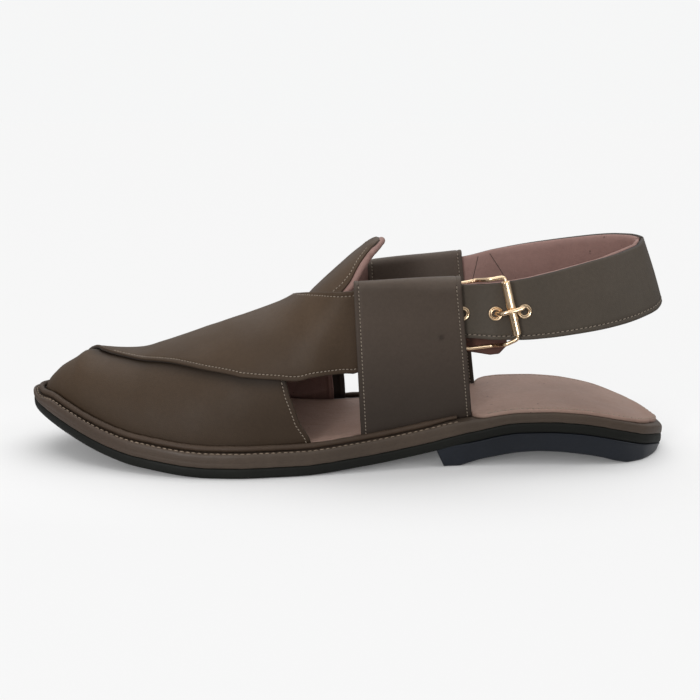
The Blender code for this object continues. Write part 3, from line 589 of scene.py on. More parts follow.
def add_mesh(name, points, faces, looks, slots=None):
    """Mesh from points in millimetres. slots gives each face its number in looks."""
    mesh = bpy.data.meshes.new(name)
    mesh.from_pydata((np.asarray(points, float) * MM).tolist(), [], faces)
    for look in looks:
        mesh.materials.append(look)
    if slots is not None:
        mesh.polygons.foreach_set("material_index", np.asarray(slots, np.int32))
    mesh.polygons.foreach_set("use_smooth", np.full(len(mesh.polygons), True))
    thing = put(name, mesh)
    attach(thing, "root")
    return thing


def mark(thing, name, values):
    """Numbers at a mesh's points for its material to read."""
    layer = thing.data.attributes.new(name, "FLOAT", "POINT")
    layer.data.foreach_set("value", np.asarray(values, np.float32))


def along(line):
    """Distance of each point of a line from its start."""
    step = np.linalg.norm(np.diff(line, axis=0), axis=1)
    return np.concatenate([[0], np.cumsum(step)])


def resample(line, at, values=None):
    """Points of a line, or values given along it, at these distances from its start."""
    s = along(line)
    values = line if values is None else values
    return np.stack([np.interp(at, s, values[:, k]) for k in range(values.shape[1])], -1)


def respace(grid, inner):
    """Columns put again at the hem's rows along both edges and evenly between them."""
    near = np.array(HEM)
    made, gap = [], []
    for row in grid:
        length = along(row)[-1]
        share = min(1.0, length / (2.6 * near[-1] + 1e-9))
        middle = np.linspace(near[-1] * share, length - near[-1] * share, inner)[1:-1]
        at = np.concatenate([near * share, middle, (length - near * share)[::-1]])
        made.append(resample(row, at))
        gap.append(np.minimum(at, length - at))
    return np.array(made), np.array(gap)


def normals_of(grid, sign=1.0):
    """Outward direction at each point of a grid."""
    along_rows, along_columns = np.gradient(grid, axis=0), np.gradient(grid, axis=1)
    return sign * unit(np.cross(along_rows, along_columns))


def grid_faces(rows, columns, flip=False, wrap=False):
    """Four-sided faces of a grid. wrap joins its last column to its first."""
    faces = []
    for r in range(rows - 1):
        for c in range(columns if wrap else columns - 1):
            d = (c + 1) % columns
            face = (r * columns + c, r * columns + d, (r + 1) * columns + d, (r + 1) * columns + c)
            faces.append(face[::-1] if flip else face)
    return faces


def vertex_normals(points, faces):
    """Outward direction at each point of a sheet, from the faces round it."""
    corners = np.array([face[:4] for face in faces])
    a, b, c, d = (points[corners[:, k]] for k in range(4))
    across = np.cross(c - a, d - b)
    total = np.zeros_like(points)
    for k in range(4):
        np.add.at(total, corners[:, k], across)
    return unit(total)


def shell(name, points, faces, gap, thick, looks, turn=0.6):
    """Leather from a sheet of four-sided faces, rounded off where gap, the way to its edge, is small."""
    points, gap = np.asarray(points, float), np.asarray(gap, float)
    out = vertex_normals(points, faces)
    turn = min(turn, thick / 2)
    near = turn - np.minimum(gap, turn)
    half = (thick / 2 - turn + np.sqrt(turn * turn - near * near))[:, None]
    count = len(points)
    seen = {}
    for face in faces:
        for k in range(4):
            edge = (face[k], face[(k + 1) % 4])
            if edge[0] == edge[1]:
                continue
            if (edge[1], edge[0]) in seen:
                del seen[(edge[1], edge[0])]
            else:
                seen[edge] = True
    whole = [tuple(dict.fromkeys(face)) for face in faces]
    inner = [tuple(count + v for v in face[::-1]) for face in whole]
    rims = [(b, a, count + a, count + b) for a, b in seen]
    slots = [0] * len(whole) + [1] * len(inner) + [2] * len(rims)
    both = np.concatenate([points + out * half, points - out * half])
    thing = add_mesh(name, both, whole + inner + rims, looks, slots)
    mark(thing, "hem", np.tile(np.clip(1 - gap / HEM_REACH, 0, 1) ** 1.5, 2))
    return thing


def loft(name, rings, looks, slots, closed_ends=True):
    """Closed rings of points joined one to the next. slots gives each ring segment its material."""
    rings = np.asarray(rings, float)
    count, size = rings.shape[:2]
    faces = grid_faces(count, size, wrap=True)
    numbers = list(slots) * (count - 1)
    if closed_ends:
        faces.append(tuple(range(size))[::-1])
        faces.append(tuple((count - 1) * size + k for k in range(size)))
        numbers += [slots[0], slots[0]]
    return add_mesh(name, rings.reshape(-1, 3), faces, looks, numbers)


def turned(axis, start, steps):
    """Directions square to an axis, all round it from the one across start."""
    side = unit(np.cross(axis, start))
    other = np.cross(axis, side)
    angles = np.linspace(0, 2 * math.pi, steps, endpoint=False)
    return [math.cos(angle) * side + math.sin(angle) * other for angle in angles]


def lathe(name, profile, centre, axis, look, steps=48):
    """Closed profile of (radius, height) turned about an axis through centre."""
    size = len(profile)
    rings = np.array([[centre + r * out + h * axis for r, h in profile]
                      for out in turned(axis, [0.31, 0.2, 0.93], steps)])
    faces = []
    for i in range(steps):
        for k in range(size):
            j, m = (i + 1) % steps, (k + 1) % size
            faces.append((i * size + k, i * size + m, j * size + m, j * size + k))
    return add_mesh(name, rings.reshape(-1, 3), faces, [look])


def smooth_path(points, count):
    """Catmull-Rom curve through the points, at even steps."""
    points = np.array(points, float)
    ends = np.concatenate([[2 * points[0] - points[1]], points, [2 * points[-1] - points[-2]]])
    made = []
    for i in range(1, len(ends) - 2):
        p0, p1, p2, p3 = ends[i - 1 : i + 3]
        for t in np.linspace(0, 1, 12, endpoint=False):
            made.append(0.5 * (2 * p1 + (p2 - p0) * t + (2 * p0 - 5 * p1 + 4 * p2 - p3) * t * t
                               + (3 * p1 - p0 - 3 * p2 + p3) * t ** 3))
    made.append(points[-1])
    made = np.array(made)
    return resample(made, np.linspace(0, along(made)[-1], count))


def pipe(name, path, radii, looks, sides=14, closed=False, flat=1.0, up=(0, 1, 0)):
    """Tube along a path, with a radius for each point. flat squeezes it along up."""
    path = np.asarray(path, float)
    count = len(path)
    ahead = np.roll(path, -1, 0) - np.roll(path, 1, 0) if closed else np.gradient(path, axis=0)
    tangent = unit(ahead)
    first = np.array(up, float)
    rings = []
    for i in range(count):
        first = unit(first - tangent[i] * (first @ tangent[i]))
        second = np.cross(tangent[i], first)
        turn = np.linspace(0, 2 * math.pi, sides, endpoint=False)
        r = radii[i] if np.ndim(radii) else radii
        rings.append(path[i] + r * (flat * np.cos(turn)[:, None] * first + np.sin(turn)[:, None] * second))
    faces = grid_faces(count, sides, wrap=True, flip=True)
    if closed:
        faces += [((count - 1) * sides + (k + 1) % sides, (count - 1) * sides + k, k, (k + 1) % sides)
                  for k in range(sides)]
    else:
        faces += [tuple(range(sides)), tuple((count - 1) * sides + k for k in range(sides))[::-1]]
    return add_mesh(name, np.concatenate(rings), faces, looks)


STITCH_RINGS = ((-0.5, 0.0), (-0.38, 0.75), (-0.1, 1.0), (0.1, 1.0), (0.38, 0.75), (0.5, 0.0))


class Seams:
    """Collects stitches and dark discs of painted shade in the holes between them, then makes one mesh of
    each.
    """

    def __init__(self):
        self.points, self.faces, self.holes, self.hole_faces = [], [], [], []

    def run(self, line, normal, pitch=1.65, length=1.22, wide=0.2, start=0.6, lift=0.05, skew=0.14, seed=1):
        line, normal = np.asarray(line, float), unit(np.asarray(normal, float))
        total = along(line)[-1]
        spots = np.arange(start, total - start * 0.5, pitch)
        if len(spots) < 2:
            return
        jitter = rng(seed)
        spots = spots + jitter.normal(0, 0.05, len(spots))
        here, out = resample(line, spots), unit(resample(line, spots, normal))
        ahead = unit(resample(line, spots + 0.3) - resample(line, spots - 0.3))
        side = np.cross(out, ahead)
        turn = np.linspace(0, 2 * math.pi, 7)[:-1]
        for p, n, a, b in zip(here, out, ahead, side):
            tilt = skew + jitter.normal(0, 0.05)
            a, b = a * math.cos(tilt) + b * math.sin(tilt), b * math.cos(tilt) - a * math.sin(tilt)
            size = length * (1 + jitter.normal(0, 0.05))
            base = len(self.points)
            for t, w in STITCH_RINGS:
                sink = -0.16 * (2 * abs(t)) ** 4
                for angle in turn:
                    self.points.append(p + a * t * size + b * w * wide * math.cos(angle)
                                       + n * (lift + sink + w * wide * 0.8 * math.sin(angle)))
            for r in range(len(STITCH_RINGS) - 1):
                for k in range(6):
                    m = (k + 1) % 6
                    low = base + r * 6
                    self.faces.append((low + k, low + m, low + 6 + m, low + 6 + k))
            # Dark disc of painted shade where the thread goes into the leather.
            at = p + a * pitch * 0.5
            base = len(self.holes)
            for angle in turn:
                self.holes.append(at + 0.26 * math.cos(angle) * a + 0.2 * math.sin(angle) * b + 0.03 * n)
            self.hole_faces.append(tuple(range(base, base + 6)))

    def make(self, name, thread, shade, slot):
        stitches = add_mesh(name, self.points, self.faces, [thread])
        holes = add_mesh(name + "_holes", self.holes, self.hole_faces, [shade])


def inset_line(grid, normal, inset, from_end=False):
    """Line at a distance from the first or last column of a grid, with the surface's direction there."""
    spots, outs = [], []
    for row, out in zip(grid, normal):
        length = along(row)[-1]
        at = length - inset if from_end else inset
        spots.append(resample(row, [at])[0])
        outs.append(resample(row, [at], out)[0])
    return np.array(spots), unit(np.array(outs))


def trough(gap):
    """Soft groove that the stitches pull into the leather."""
    return 0.22 * np.exp(-(((gap - STITCH_INSET) / 0.55) ** 2))


# Surface finishes
MOTTLE = 22.0


def add_node(tree, kind, values=None, **settings):
    """Shader node with its settings. values gives an input a number, a colour or the socket that feeds it."""
    made = tree.nodes.new("ShaderNode" + kind)
    for key, value in settings.items():
        setattr(made, key, value)
    for key, value in (values or {}).items():
        if isinstance(value, bpy.types.NodeSocket):
            tree.links.new(value, made.inputs[key])
        else:
            made.inputs[key].default_value = value
    return made


def finish(name, colour, rough, spread=0.16, grain=(1500.0, 0.35), metallic=0.0, warm=None, creases=0.0,
           specks=0.0, hem=0.0, cells=True, gloss=0.5, shade=0.0):
    """Procedural finish in object space: mottled colour, pores or fibres, uneven gloss and darker hems."""
    look = bpy.data.materials.new(name)
    look.use_nodes = True
    tree = look.node_tree
    surface = tree.nodes["Principled BSDF"]
    surface.inputs["Metallic"].default_value = metallic
    surface.inputs["Specular IOR Level"].default_value = gloss
    place = add_node(tree, "TexCoord").outputs["Object"]

    def noise(scale, detail=4.0, roughness=0.55, distortion=0.0):
        values = {"Vector": place, "Scale": scale, "Detail": detail, "Roughness": roughness}
        return add_node(tree, "TexNoise", {**values, "Distortion": distortion}).outputs["Fac"]

    def fit(value, low, high, to_low, to_high):
        values = {"Value": value, "From Min": low, "From Max": high, "To Min": to_low, "To Max": to_high}
        return add_node(tree, "MapRange", values).outputs["Result"]

    def blend(factor, first, second):
        """second, a share of colour or a colour, laid over first."""
        if isinstance(second, float):
            second = tuple(c * second for c in colour)
        first, second = ((*value, 1.0) if isinstance(value, tuple) else value for value in (first, second))
        return add_node(tree, "Mix", {0: factor, 6: first, 7: second}, data_type="RGBA").outputs[2]

    def painted(attribute):
        return add_node(tree, "Attribute", attribute_name=attribute).outputs["Fac"]

    dark = tuple(c * (1 - spread) for c in colour)
    light = tuple(min(1.0, c * (1 + spread)) for c in colour)
    tint = blend(fit(noise(MOTTLE, 5.0, 0.6), 0.3, 0.7, 0, 1), dark, light)
    if warm:
        tint = blend(fit(noise(MOTTLE * 0.45, 2.0, 0.5), 0.42, 0.68, 0, 0.75), tint, warm)
    tint = blend(fit(noise(grain[0] * 0.45, 3.0, 0.7), 0.35, 0.72, 0, 0.30), tint, 0.62)
    if specks:
        tint = blend(fit(noise(620.0, 1.0, 0.3), 0.765, 0.80, 0, specks), tint, 0.25)
    if hem:
        tint = blend(fit(painted("hem"), 0.0, 1.0, 0.0, hem), tint, 0.45)
    if shade:
        # Painted shade: the colour darkens towards the bottom, under 66 mm, in place of the weaker light near
        # the sole. The point attribute read below holds a painted shadow along the over strap's front edge
        # and a real scuff on the lateral loop.
        height = add_node(tree, "SeparateXYZ", {0: place}).outputs["Z"]
        tint = blend(fit(height, 0.024, 0.066, shade, 0.0), tint, 0.3)
        tint = blend(fit(painted("scuff_and_painted_shadow"), 0.0, 1.0, 0.0, 0.9), tint, 0.18)
    tree.links.new(tint, surface.inputs["Base Color"])
    uneven = fit(noise(MOTTLE * 3.1, 4.0), 0.3, 0.7, max(0.05, rough - 0.07), min(1.0, rough + 0.07))
    tree.links.new(uneven, surface.inputs["Roughness"])

    reliefs = [(noise(grain[0] * 1.7, 3.0, 0.7), grain[1] * 0.8, 0.00005)]
    if cells:
        pores = add_node(tree, "TexVoronoi", {"Vector": place, "Scale": grain[0]}, feature="DISTANCE_TO_EDGE")
        reliefs.insert(0, (fit(pores.outputs["Distance"], 0.0, 0.35, 0.0, 1.0), grain[1], 0.00006))
    if creases:
        reliefs.append((noise(150.0, 5.0, 0.62, 0.6), creases, 0.0007))
    below = {}
    for source, strength, distance in reliefs:
        bump = add_node(tree, "Bump", {"Height": source, "Strength": strength, "Distance": distance, **below})
        below = {"Normal": bump.outputs["Normal"]}
    tree.links.new(below["Normal"], surface.inputs["Normal"])
    return look


leather = finish("brown_leather", (0.072, 0.046, 0.028), 0.58, 0.14, (1500.0, 0.42),
                 warm=(0.092, 0.055, 0.029), creases=0.16, hem=0.35, gloss=0.22, shade=0.55)
loop_leather = finish("panel_leather", (0.086, 0.064, 0.050), 0.58, 0.12, (1500.0, 0.42),
                      warm=(0.080, 0.058, 0.039), creases=0.14, hem=0.30, gloss=0.25, shade=0.75)
strap_leather = finish("strap_leather", (0.086, 0.070, 0.054), 0.58, 0.10, (1500.0, 0.40),
                       warm=(0.082, 0.060, 0.044), creases=0.12, hem=0.25, gloss=0.25)
lining = finish("rosy_lining", (0.300, 0.180, 0.155), 0.66, 0.13, (1100.0, 0.5), warm=(0.235, 0.130, 0.112),
                creases=0.5, specks=0.65, hem=0.35, gloss=0.3)
insole_look = finish("insole_lining", (0.300, 0.200, 0.160), 0.62, 0.17, (1300.0, 0.45),
                     warm=(0.235, 0.140, 0.108), creases=0.7, specks=0.75, hem=0.2, gloss=0.3)
cut_edge = finish("cut_edge", (0.036, 0.026, 0.020), 0.7, 0.3, (2200.0, 0.6), cells=False)
band_look = finish("sole_edge", (0.066, 0.048, 0.035), 0.5, 0.2, (900.0, 0.45), warm=(0.064, 0.041, 0.029),
                   creases=0.25, cells=False, gloss=0.3)
bead_look = finish("bead_leather", (0.056, 0.037, 0.025), 0.55, 0.18, (1400.0, 0.35), creases=0.3, gloss=0.2)
rubber = finish("black_rubber", (0.0085, 0.009, 0.0075), 0.6, 0.2, (1700.0, 0.5), creases=0.12,
                cells=False, gloss=0.16)
heel_look = finish("heel_rubber", (0.009, 0.0115, 0.017), 0.38, 0.25, (1400.0, 0.30), creases=0.2,
                   cells=False, gloss=0.3)
brass = finish("brass", (0.93, 0.69, 0.45), 0.27, 0.06, (500.0, 0.03), metallic=1.0, cells=False)
anchor_look = finish("anchor_leather", (0.11, 0.045, 0.032), 0.5, 0.2, (1300.0, 0.4), creases=0.3)
thread = finish("thread", (0.30, 0.245, 0.19), 0.75, 0.2, (5200.0, 0.6), cells=False)
sole_thread = finish("sole_thread", (0.27, 0.205, 0.15), 0.8, 0.35, (5200.0, 0.6), cells=False)
pin_shade = finish("pin_shade", (0.010, 0.007, 0.005), 0.9, 0.1, (2000.0, 0.2), cells=False)


# Rows of the hems, in millimetres from an edge
HEM = (0, 0.08, 0.22, 0.4, 0.65, 1.0, 1.4, 1.7, 1.9, 2.1, 2.35, 2.65, 3.1, 3.8, 5.0)
HEM_REACH = 2.4
STITCH_INSET = 2.05


def leather_sheet(name, grid, sign, thick, looks, node=None, inner=40, shape=None, end=False):
    """Sheet whose long edges carry a stitched trough. end rounds off its last row too.

    It returns the object, its grid and its outward directions.
    """
    grid, gap = respace(grid, inner)
    out = normals_of(grid, sign)
    grid -= out * trough(gap)[..., None]
    if shape is not None:
        grid = grid + out * shape(grid, gap)[..., None]
    rows, columns = grid.shape[:2]
    if end:
        steps = np.linalg.norm(np.diff(grid, axis=0), axis=2)
        gap = np.minimum(gap, np.concatenate([np.cumsum(steps[::-1], axis=0)[::-1], np.zeros((1, columns))]))
    faces = grid_faces(rows, columns, flip=sign > 0)
    thing = shell(name, grid.reshape(-1, 3), faces, gap.ravel(), thick, looks)
    if node:
        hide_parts(node)
    return thing, grid, normals_of(grid, sign)


def stitch(grid, out, lift, seed, ends=(False, True), inset=STITCH_INSET, starts=(0, 0)):
    """Stitches along the first and last column of a sheet, on its outer face."""
    for from_end in ends:
        line, normal = inset_line(grid, out, inset, from_end)
        start = starts[from_end]
        seams.run((line + normal * lift)[start:], normal[start:], seed=seed + from_end)


# Upper: the under strap is the toe cap with its arm to the medial loop
def table_line(rows, steps, keys):
    """Columns of a table read at these steps."""
    return [np.interp(steps, rows[keys[0]], rows[key]) for key in keys[1:]]


ARM_FROM, ARM_TO = 0.60, 0.88


def build_under_strap():
    """Toe cap and, in one sheet with it, the arm to the medial loop."""
    turns = np.concatenate([np.linspace(0, 0.14, 26)[:-1], np.linspace(0.14, ARM_FROM, 56)[:-1],
                            np.linspace(ARM_FROM, ARM_TO, 34)[:-1], np.linspace(ARM_TO, 1, 18)])
    rear = np.interp(turns, UNDER_REAR["turn"], UNDER_REAR["back"])
    rows = 96
    grid = np.zeros((len(turns), rows, 3))
    for r in range(rows):
        station = 1 + (station_of(rear) - 1) * r / (rows - 1)
        grid[:, r] = wall_point(share_of(station), turns, STRAP_THICK / 2)
    grid[:, 0] = grid[:, 0].mean(axis=0)
    near = np.array(HEM)
    made, gap = [], []
    for column in grid:
        length = along(column)[-1]
        at = np.concatenate([np.linspace(0, length - near[-1], 70)[:-1], (length - near)[::-1]])
        made.append(resample(column, at))
        gap.append(length - at)
    grid, gap = np.array(made), np.array(gap)
    out = normals_of(grid, -1.0)
    out[:, 0] = out[:, 1]
    free = (turns < ARM_FROM) | (turns > ARM_TO)
    grid -= out * (trough(gap) * np.where(free, 1.0, 0.0)[:, None])[..., None]

    first, last = (int(np.argmin(abs(turns - turn))) for turn in (ARM_FROM, ARM_TO))
    across = (turns[first : last + 1] - ARM_FROM) / (ARM_TO - ARM_FROM)
    arm = []
    for step in np.linspace(0, 1, 44)[1:]:
        row = {key: np.interp(step, UNDER_ARM["step"], UNDER_ARM[key]) for key in UNDER_ARM}
        back = row["upper_back"] + (row["lower_back"] - row["upper_back"]) * across
        turn = row["upper_turn"] + (row["lower_turn"] - row["upper_turn"]) * across
        arm.append(wall_point(back, turn, STRAP_THICK / 2))
    arm = np.array(arm)

    count, columns = grid.shape[:2]
    points = list(grid.reshape(-1, 3))
    gaps = list(np.where(free[:, None], gap, 9.0).ravel())
    faces = grid_faces(count, columns)
    edge = [(first + k) * columns + columns - 1 for k in range(arm.shape[1])]
    for row in arm:
        fresh = list(range(len(points), len(points) + len(row)))
        points += list(row)
        gaps += list(np.minimum(along(row), along(row)[-1] - along(row)))
        faces += [(edge[k], fresh[k], fresh[k + 1], edge[k + 1]) for k in range(len(row) - 1)]
        edge = fresh
    points = np.array(points)
    thick = STRAP_THICK - 0.3
    thing = shell("under_strap", points, faces, gaps, thick, [leather, lining, cut_edge])
    # Painted shadow: the under strap is darkened within a few millimetres of the over strap's front edge,
    # where that strap casts its shadow.
    edge = wall_point(*table_line(OVER_FRONT, np.linspace(0, 1, 220), ("step", "back", "turn")), STRAP_THICK)
    far = np.sqrt(((points[:, None] - edge[None]) ** 2).sum(-1)).min(1)
    mark(thing, "scuff_and_painted_shadow", np.tile(0.9 * np.exp(-((far / 3.6) ** 2)), 2))

    for rows, seed in ((grid[:first], 11), (grid[last:], 12)):
        stitch(rows[:, ::-1], normals_of(rows[:, ::-1]), thick / 2, seed, ends=(False,))
    stitch(arm, normals_of(arm), thick / 2, 13)


def build_over_strap():
    """Strap from the medial sole to the lateral loop. Its rear edge runs level across the vamp."""
    steps, parts = np.linspace(0, 1, 190), np.linspace(0, 1, 60)
    front = table_line(OVER_FRONT, steps, ("step", "back", "turn"))
    behind = table_line(OVER_REAR, steps, ("step", "back", "turn"))
    thick = STRAP_STEP - 0.1
    level = (steps > LEVEL_STEPS[0]) & (steps < LEVEL_STEPS[1])
    backs, turns = behind[0][level], behind[1][level]

    def rise(back, turn):
        point = wall_point(back, turn, STRAP_THICK)
        return point[:, 2] + 0.24 * point[:, 1]

    ends = rise(backs, turns)[[0, -1]]
    aim = ends[0] + (ends[1] - ends[0]) * (turns[0] - turns) / (turns[0] - turns[-1])
    low, high = np.full(len(backs), 0.40), np.full(len(backs), 0.60)
    for _ in range(16):
        half = (low + high) / 2
        over = rise(half, turns) > aim
        low, high = np.where(over, half, low), np.where(over, high, half)
    behind[0][level] = half
    grid = np.zeros((len(steps), len(parts), 3))
    for p, part in enumerate(parts):
        back = front[0] + (behind[0] - front[0]) * part
        turn = front[1] + (behind[1] - front[1]) * part
        peak = PEAK_LIFT * np.exp(-(((steps - 0.135) / 0.05) ** 2)) * max(0.0, 1 - part / 0.12) ** 2
        grid[:, p] = wall_point(back, turn, STRAP_THICK + 0.05 + thick / 2)
        grid[:, p] += peak[:, None] * foot_normal(back, turn)
        grid[:, p, 2] += HEM_STEP * np.clip(1 - steps / 0.05, 0, 1)
    thing, grid, out = leather_sheet("over_strap", grid, 1.0, thick, [leather, cut_edge, cut_edge],
                                     inner=44)
    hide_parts("upper")
    stitch(grid, out, thick / 2, 21, starts=(int(0.16 * len(grid)), 8))


def build_tongue():
    """Leaf that stands up behind the crossing, with its edge rolled in lining."""
    steps = np.linspace(0, 1, 90)
    back, half = table_line(TONGUE, steps, ("step", "back", "half"))
    sink = TONGUE_SINK + TONGUE_THICK / 2
    across = np.linspace(-1, 1, 61)
    grid = []
    for b, h in zip(back, half):
        turn = 0.5 + h * across
        grid.append(last_point(b, turn) - sink * foot_normal(b, turn))
    thick = TONGUE_THICK - 0.2
    _, grid, out = leather_sheet("tongue_leaf", np.array(grid), 1.0, thick, [leather, lining, cut_edge],
                                 node="tongue", inner=36, end=True)
    stitch(grid[10:-4], out[10:-4], thick / 2, 31, inset=STITCH_INSET + 1.6)
    edges = []
    for column, inside in ((0, 6), (-1, -7)):
        edge = grid[:, column] + 1.1 * unit(grid[:, column] - grid[:, inside]) - 1.0 * out[:, inside]
        edges.append(edge[12:-4])
    middle = grid.shape[1] // 2
    apex = grid[-1, middle] + 0.35 * unit(grid[-1, middle] - grid[-8, middle]) - 0.9 * out[-8, middle]
    path = smooth_path(np.concatenate([edges[0], [apex], edges[1][::-1]]), 160)
    s = np.linspace(0, 1, len(path))
    radii = 1.45 * np.clip(np.minimum(s, 1 - s) / 0.12, 0.5, 1) ** 0.7
    radii = radii * (1 + 0.03 * np.sin(s * 90) + 0.02 * np.sin(s * 211))
    roll = pipe("tongue_roll", path, radii, [lining], sides=16)


# Side loops of folded leather
def build_loop(side, name, node, rear_gap):
    """Strip that climbs from the sole, folds over the top and comes down inside."""
    heights = np.linspace(0, 1, 56)
    turns = np.linspace(0, math.pi, 15)[1:-1]
    grid = []
    for a in np.linspace(0, 1, 70):
        gap_full = LOOP_GAP + (rear_gap - LOOP_GAP) * smooth((a - 0.3) / 0.5)
        radius = (gap_full + LOOP_THICK) / 2

        def place(height, depth, lift=0.0):
            height = np.asarray(height, float) + np.zeros(np.shape(depth))
            x = REST_BACK - (loop_front(side) - LOOP_WIDTH * a - LOOP_LEAN * (1 - height))
            x = x + (FLARE[0] * a - FLARE[1] * (1 - a)) * (1 - height)
            _, base = loop_base(side, x)
            z = base + (loop_top(side, x) - radius - LOOP_THICK / 2 - base) * height
            return np.column_stack([x, loop_side(side, x, z, depth), z + lift])

        gap = LOOP_FOOT_GAP + (gap_full - LOOP_FOOT_GAP) * smooth((heights - 0.03) / 0.42)
        fold = LOOP_THICK / 2 + radius * (1 - np.cos(turns))
        grid.append(np.concatenate([
            place(heights, np.full(len(heights), LOOP_THICK / 2)),
            place(np.ones(len(turns)), fold, radius * np.sin(turns)),
            place(heights[::-1], LOOP_THICK * 1.5 + gap[::-1]),
        ]))
    grid = np.array(grid).transpose(1, 0, 2)

    def crease(points, gap):
        z = points[..., 2]
        wave = 0.10 * np.sin(z / 9.0 + points[..., 0] / 13.0) + 0.07 * np.sin(points[..., 0] / 5.5 - z / 21.0)
        return wave * np.clip(gap / 6, 0, 1)

    thing, grid, out = leather_sheet(name, grid, float(side), LOOP_THICK, [loop_leather, lining, cut_edge],
                                     node=node, inner=40, shape=crease)
    off = ((grid[..., 0] + 90.3) / 1.2) ** 2 + ((grid[..., 2] - 58.8) / 0.7) ** 2
    scuff = np.exp(-(off ** 1.5)) * (side < 0)
    mark(thing, "scuff_and_painted_shadow", np.tile(scuff.ravel(), 2))
    more = 2 * (side > 0)
    for rows, seed in ((slice(0, len(heights) + 2), 41), (slice(len(heights) + 10, None), 45)):
        stitch(grid[rows], out[rows], LOOP_THICK / 2, seed + more)


# Heel strap: outer leather with a padded lining rolled up behind its top edge
LEATHER_SECTION = (
    [(0.004, 0.10), (0.0, 0.30), (0.006, 0.44), (0.02, 0.50)]
    + [(u, 0.50 + 0.08 * math.sin(math.pi * u)) for u in (
        0.05, 0.066, 0.08, 0.1, 0.13, 0.18, 0.26, 0.34, 0.42, 0.5, 0.58, 0.66, 0.74, 0.82, 0.89, 0.94, 0.97)]
    + [(0.988, 0.49), (0.998, 0.40), (1.0, 0.28), (0.996, 0.16), (0.975, 0.09)]
)
LINING_SECTION = (
    [(0.975, 0.06), (0.993, 0.03), (1.002, -0.06), (1.003, -0.18), (0.995, -0.32), (0.975, -0.45),
     (0.94, -0.54)]
    + [(u, -0.56 - 0.06 * math.sin(math.pi * u)) for u in np.linspace(0.9, 0.08, 22)]
    + [(0.05, -0.54), (0.022, -0.45), (0.006, -0.3), (0.002, -0.12), (0.012, 0.04)]
)


def build_heel_strap():
    """Padded strap from its section's two halves. It returns the strap's frames."""
    steps = np.linspace(0, 1, 300)
    frames = strap_frames(steps)
    sections = LEATHER_SECTION + LINING_SECTION
    slots = [0] * (len(LEATHER_SECTION) - 5) + [2] * 5 + [1] * len(LINING_SECTION)
    slots[0] = slots[1] = 2
    noise = rng(5)
    waves = [(noise.uniform(26, 90), noise.uniform(0, 6.28), noise.uniform(-3, 3)) for _ in range(9)]
    bulge = smooth((steps - 0.22) / 0.12) * smooth((0.93 - steps) / 0.1)
    columns = []
    for k, (up_share, out_share) in enumerate(sections):
        line = strap_line(frames, up_share, out_share)
        if k >= len(LEATHER_SECTION):
            soft = math.sin(math.pi * min(1, max(0, up_share))) ** 0.5
            fold = sum(np.sin(w * steps * 2 + s + q * up_share) for w, s, q in waves) / 9
            deep = 0.38 + 0.5 * np.exp(-(((steps - 0.68) / 0.05) ** 2))
            line = line + frames[2] * (deep * fold * soft * bulge)[:, None]
        elif 0.045 < up_share < 0.1:
            line = line - frames[2] * 0.2 * math.exp(-(((up_share - 0.072) / 0.02) ** 2))
        if up_share > 0.93 and k >= len(LEATHER_SECTION):
            line = line + frames[1] * (0.9 * np.exp(-(((steps - 0.53) / 0.09) ** 4)))[:, None]
        columns.append(line)
    rings = np.stack(columns, 1)
    strap = loft("strap", rings, [strap_leather, lining, cut_edge], slots)
    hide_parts("heel_strap")
    seams.run(strap_line(frames, 0.072, 0.505), frames[2], pitch=2.1, length=1.4, seed=51)
    for number, (top, foot) in enumerate(((0.951, 0.958), (0.936, 0.914))):
        share = np.linspace(0, 1, 30)
        at = top + (foot - top) * share
        made = [strap_line(frames, 0.95 - 0.5 * k, -0.61 - 0.02 * math.sin(math.pi * k)) for k in share]
        path = [[np.interp(step, steps, line[:, k]) for k in range(3)] for line, step in zip(made, at)]
        crease = pipe(f"lining_join_{number}", np.array(path), 0.13, [cut_edge], sides=8)
    return frames


# Sole
def sole_ring(station, profile, across):
    """Closed ring over the sole: the lateral edge up, over the top, down the medial edge and back underneath.

    profile rows are (inset, height function), and across is the count of points from edge to edge.
    """
    sides = {}
    for side in (-1, 1):
        points = []
        for inset, height in profile:
            x, y = inset_rim(np.array([station]), side, np.array([inset]))[0]
            points.append((x, y, float(height(x))))
        sides[side] = np.array(points)
    lateral, medial = sides[-1], sides[1]
    share = np.linspace(0, 1, across)[1:-1, None]
    top = lateral[-1] + (medial[-1] - lateral[-1]) * share
    under = medial[0] + (lateral[0] - medial[0]) * share
    return np.concatenate([lateral, top, medial[::-1], under])


def forefoot(inset, count):
    """Both halves of the line round the forefoot that the bead and the lip's stitches follow."""
    first, last = (station_of(end / LENGTH) for end in (BEAD_LATERAL_END, BEAD_MEDIAL_END))
    rows = ((-1, np.linspace(first, 1, count)), (1, np.linspace(1, last, count)))
    return [inset_rim(stations, side, inset) for side, stations in rows]


def tread(under, slant, edge):
    """How far the gaps between the tread's bars rise from the sole, at points this far from its edge."""
    bars = np.sin(2 * math.pi * (under[..., 0] + slant * np.abs(under[..., 1])) / TREAD_PITCH)
    return TREAD_DEPTH * smooth((bars - 0.45) / 0.3) * smooth((edge - TREAD_EDGE) / 1.5)


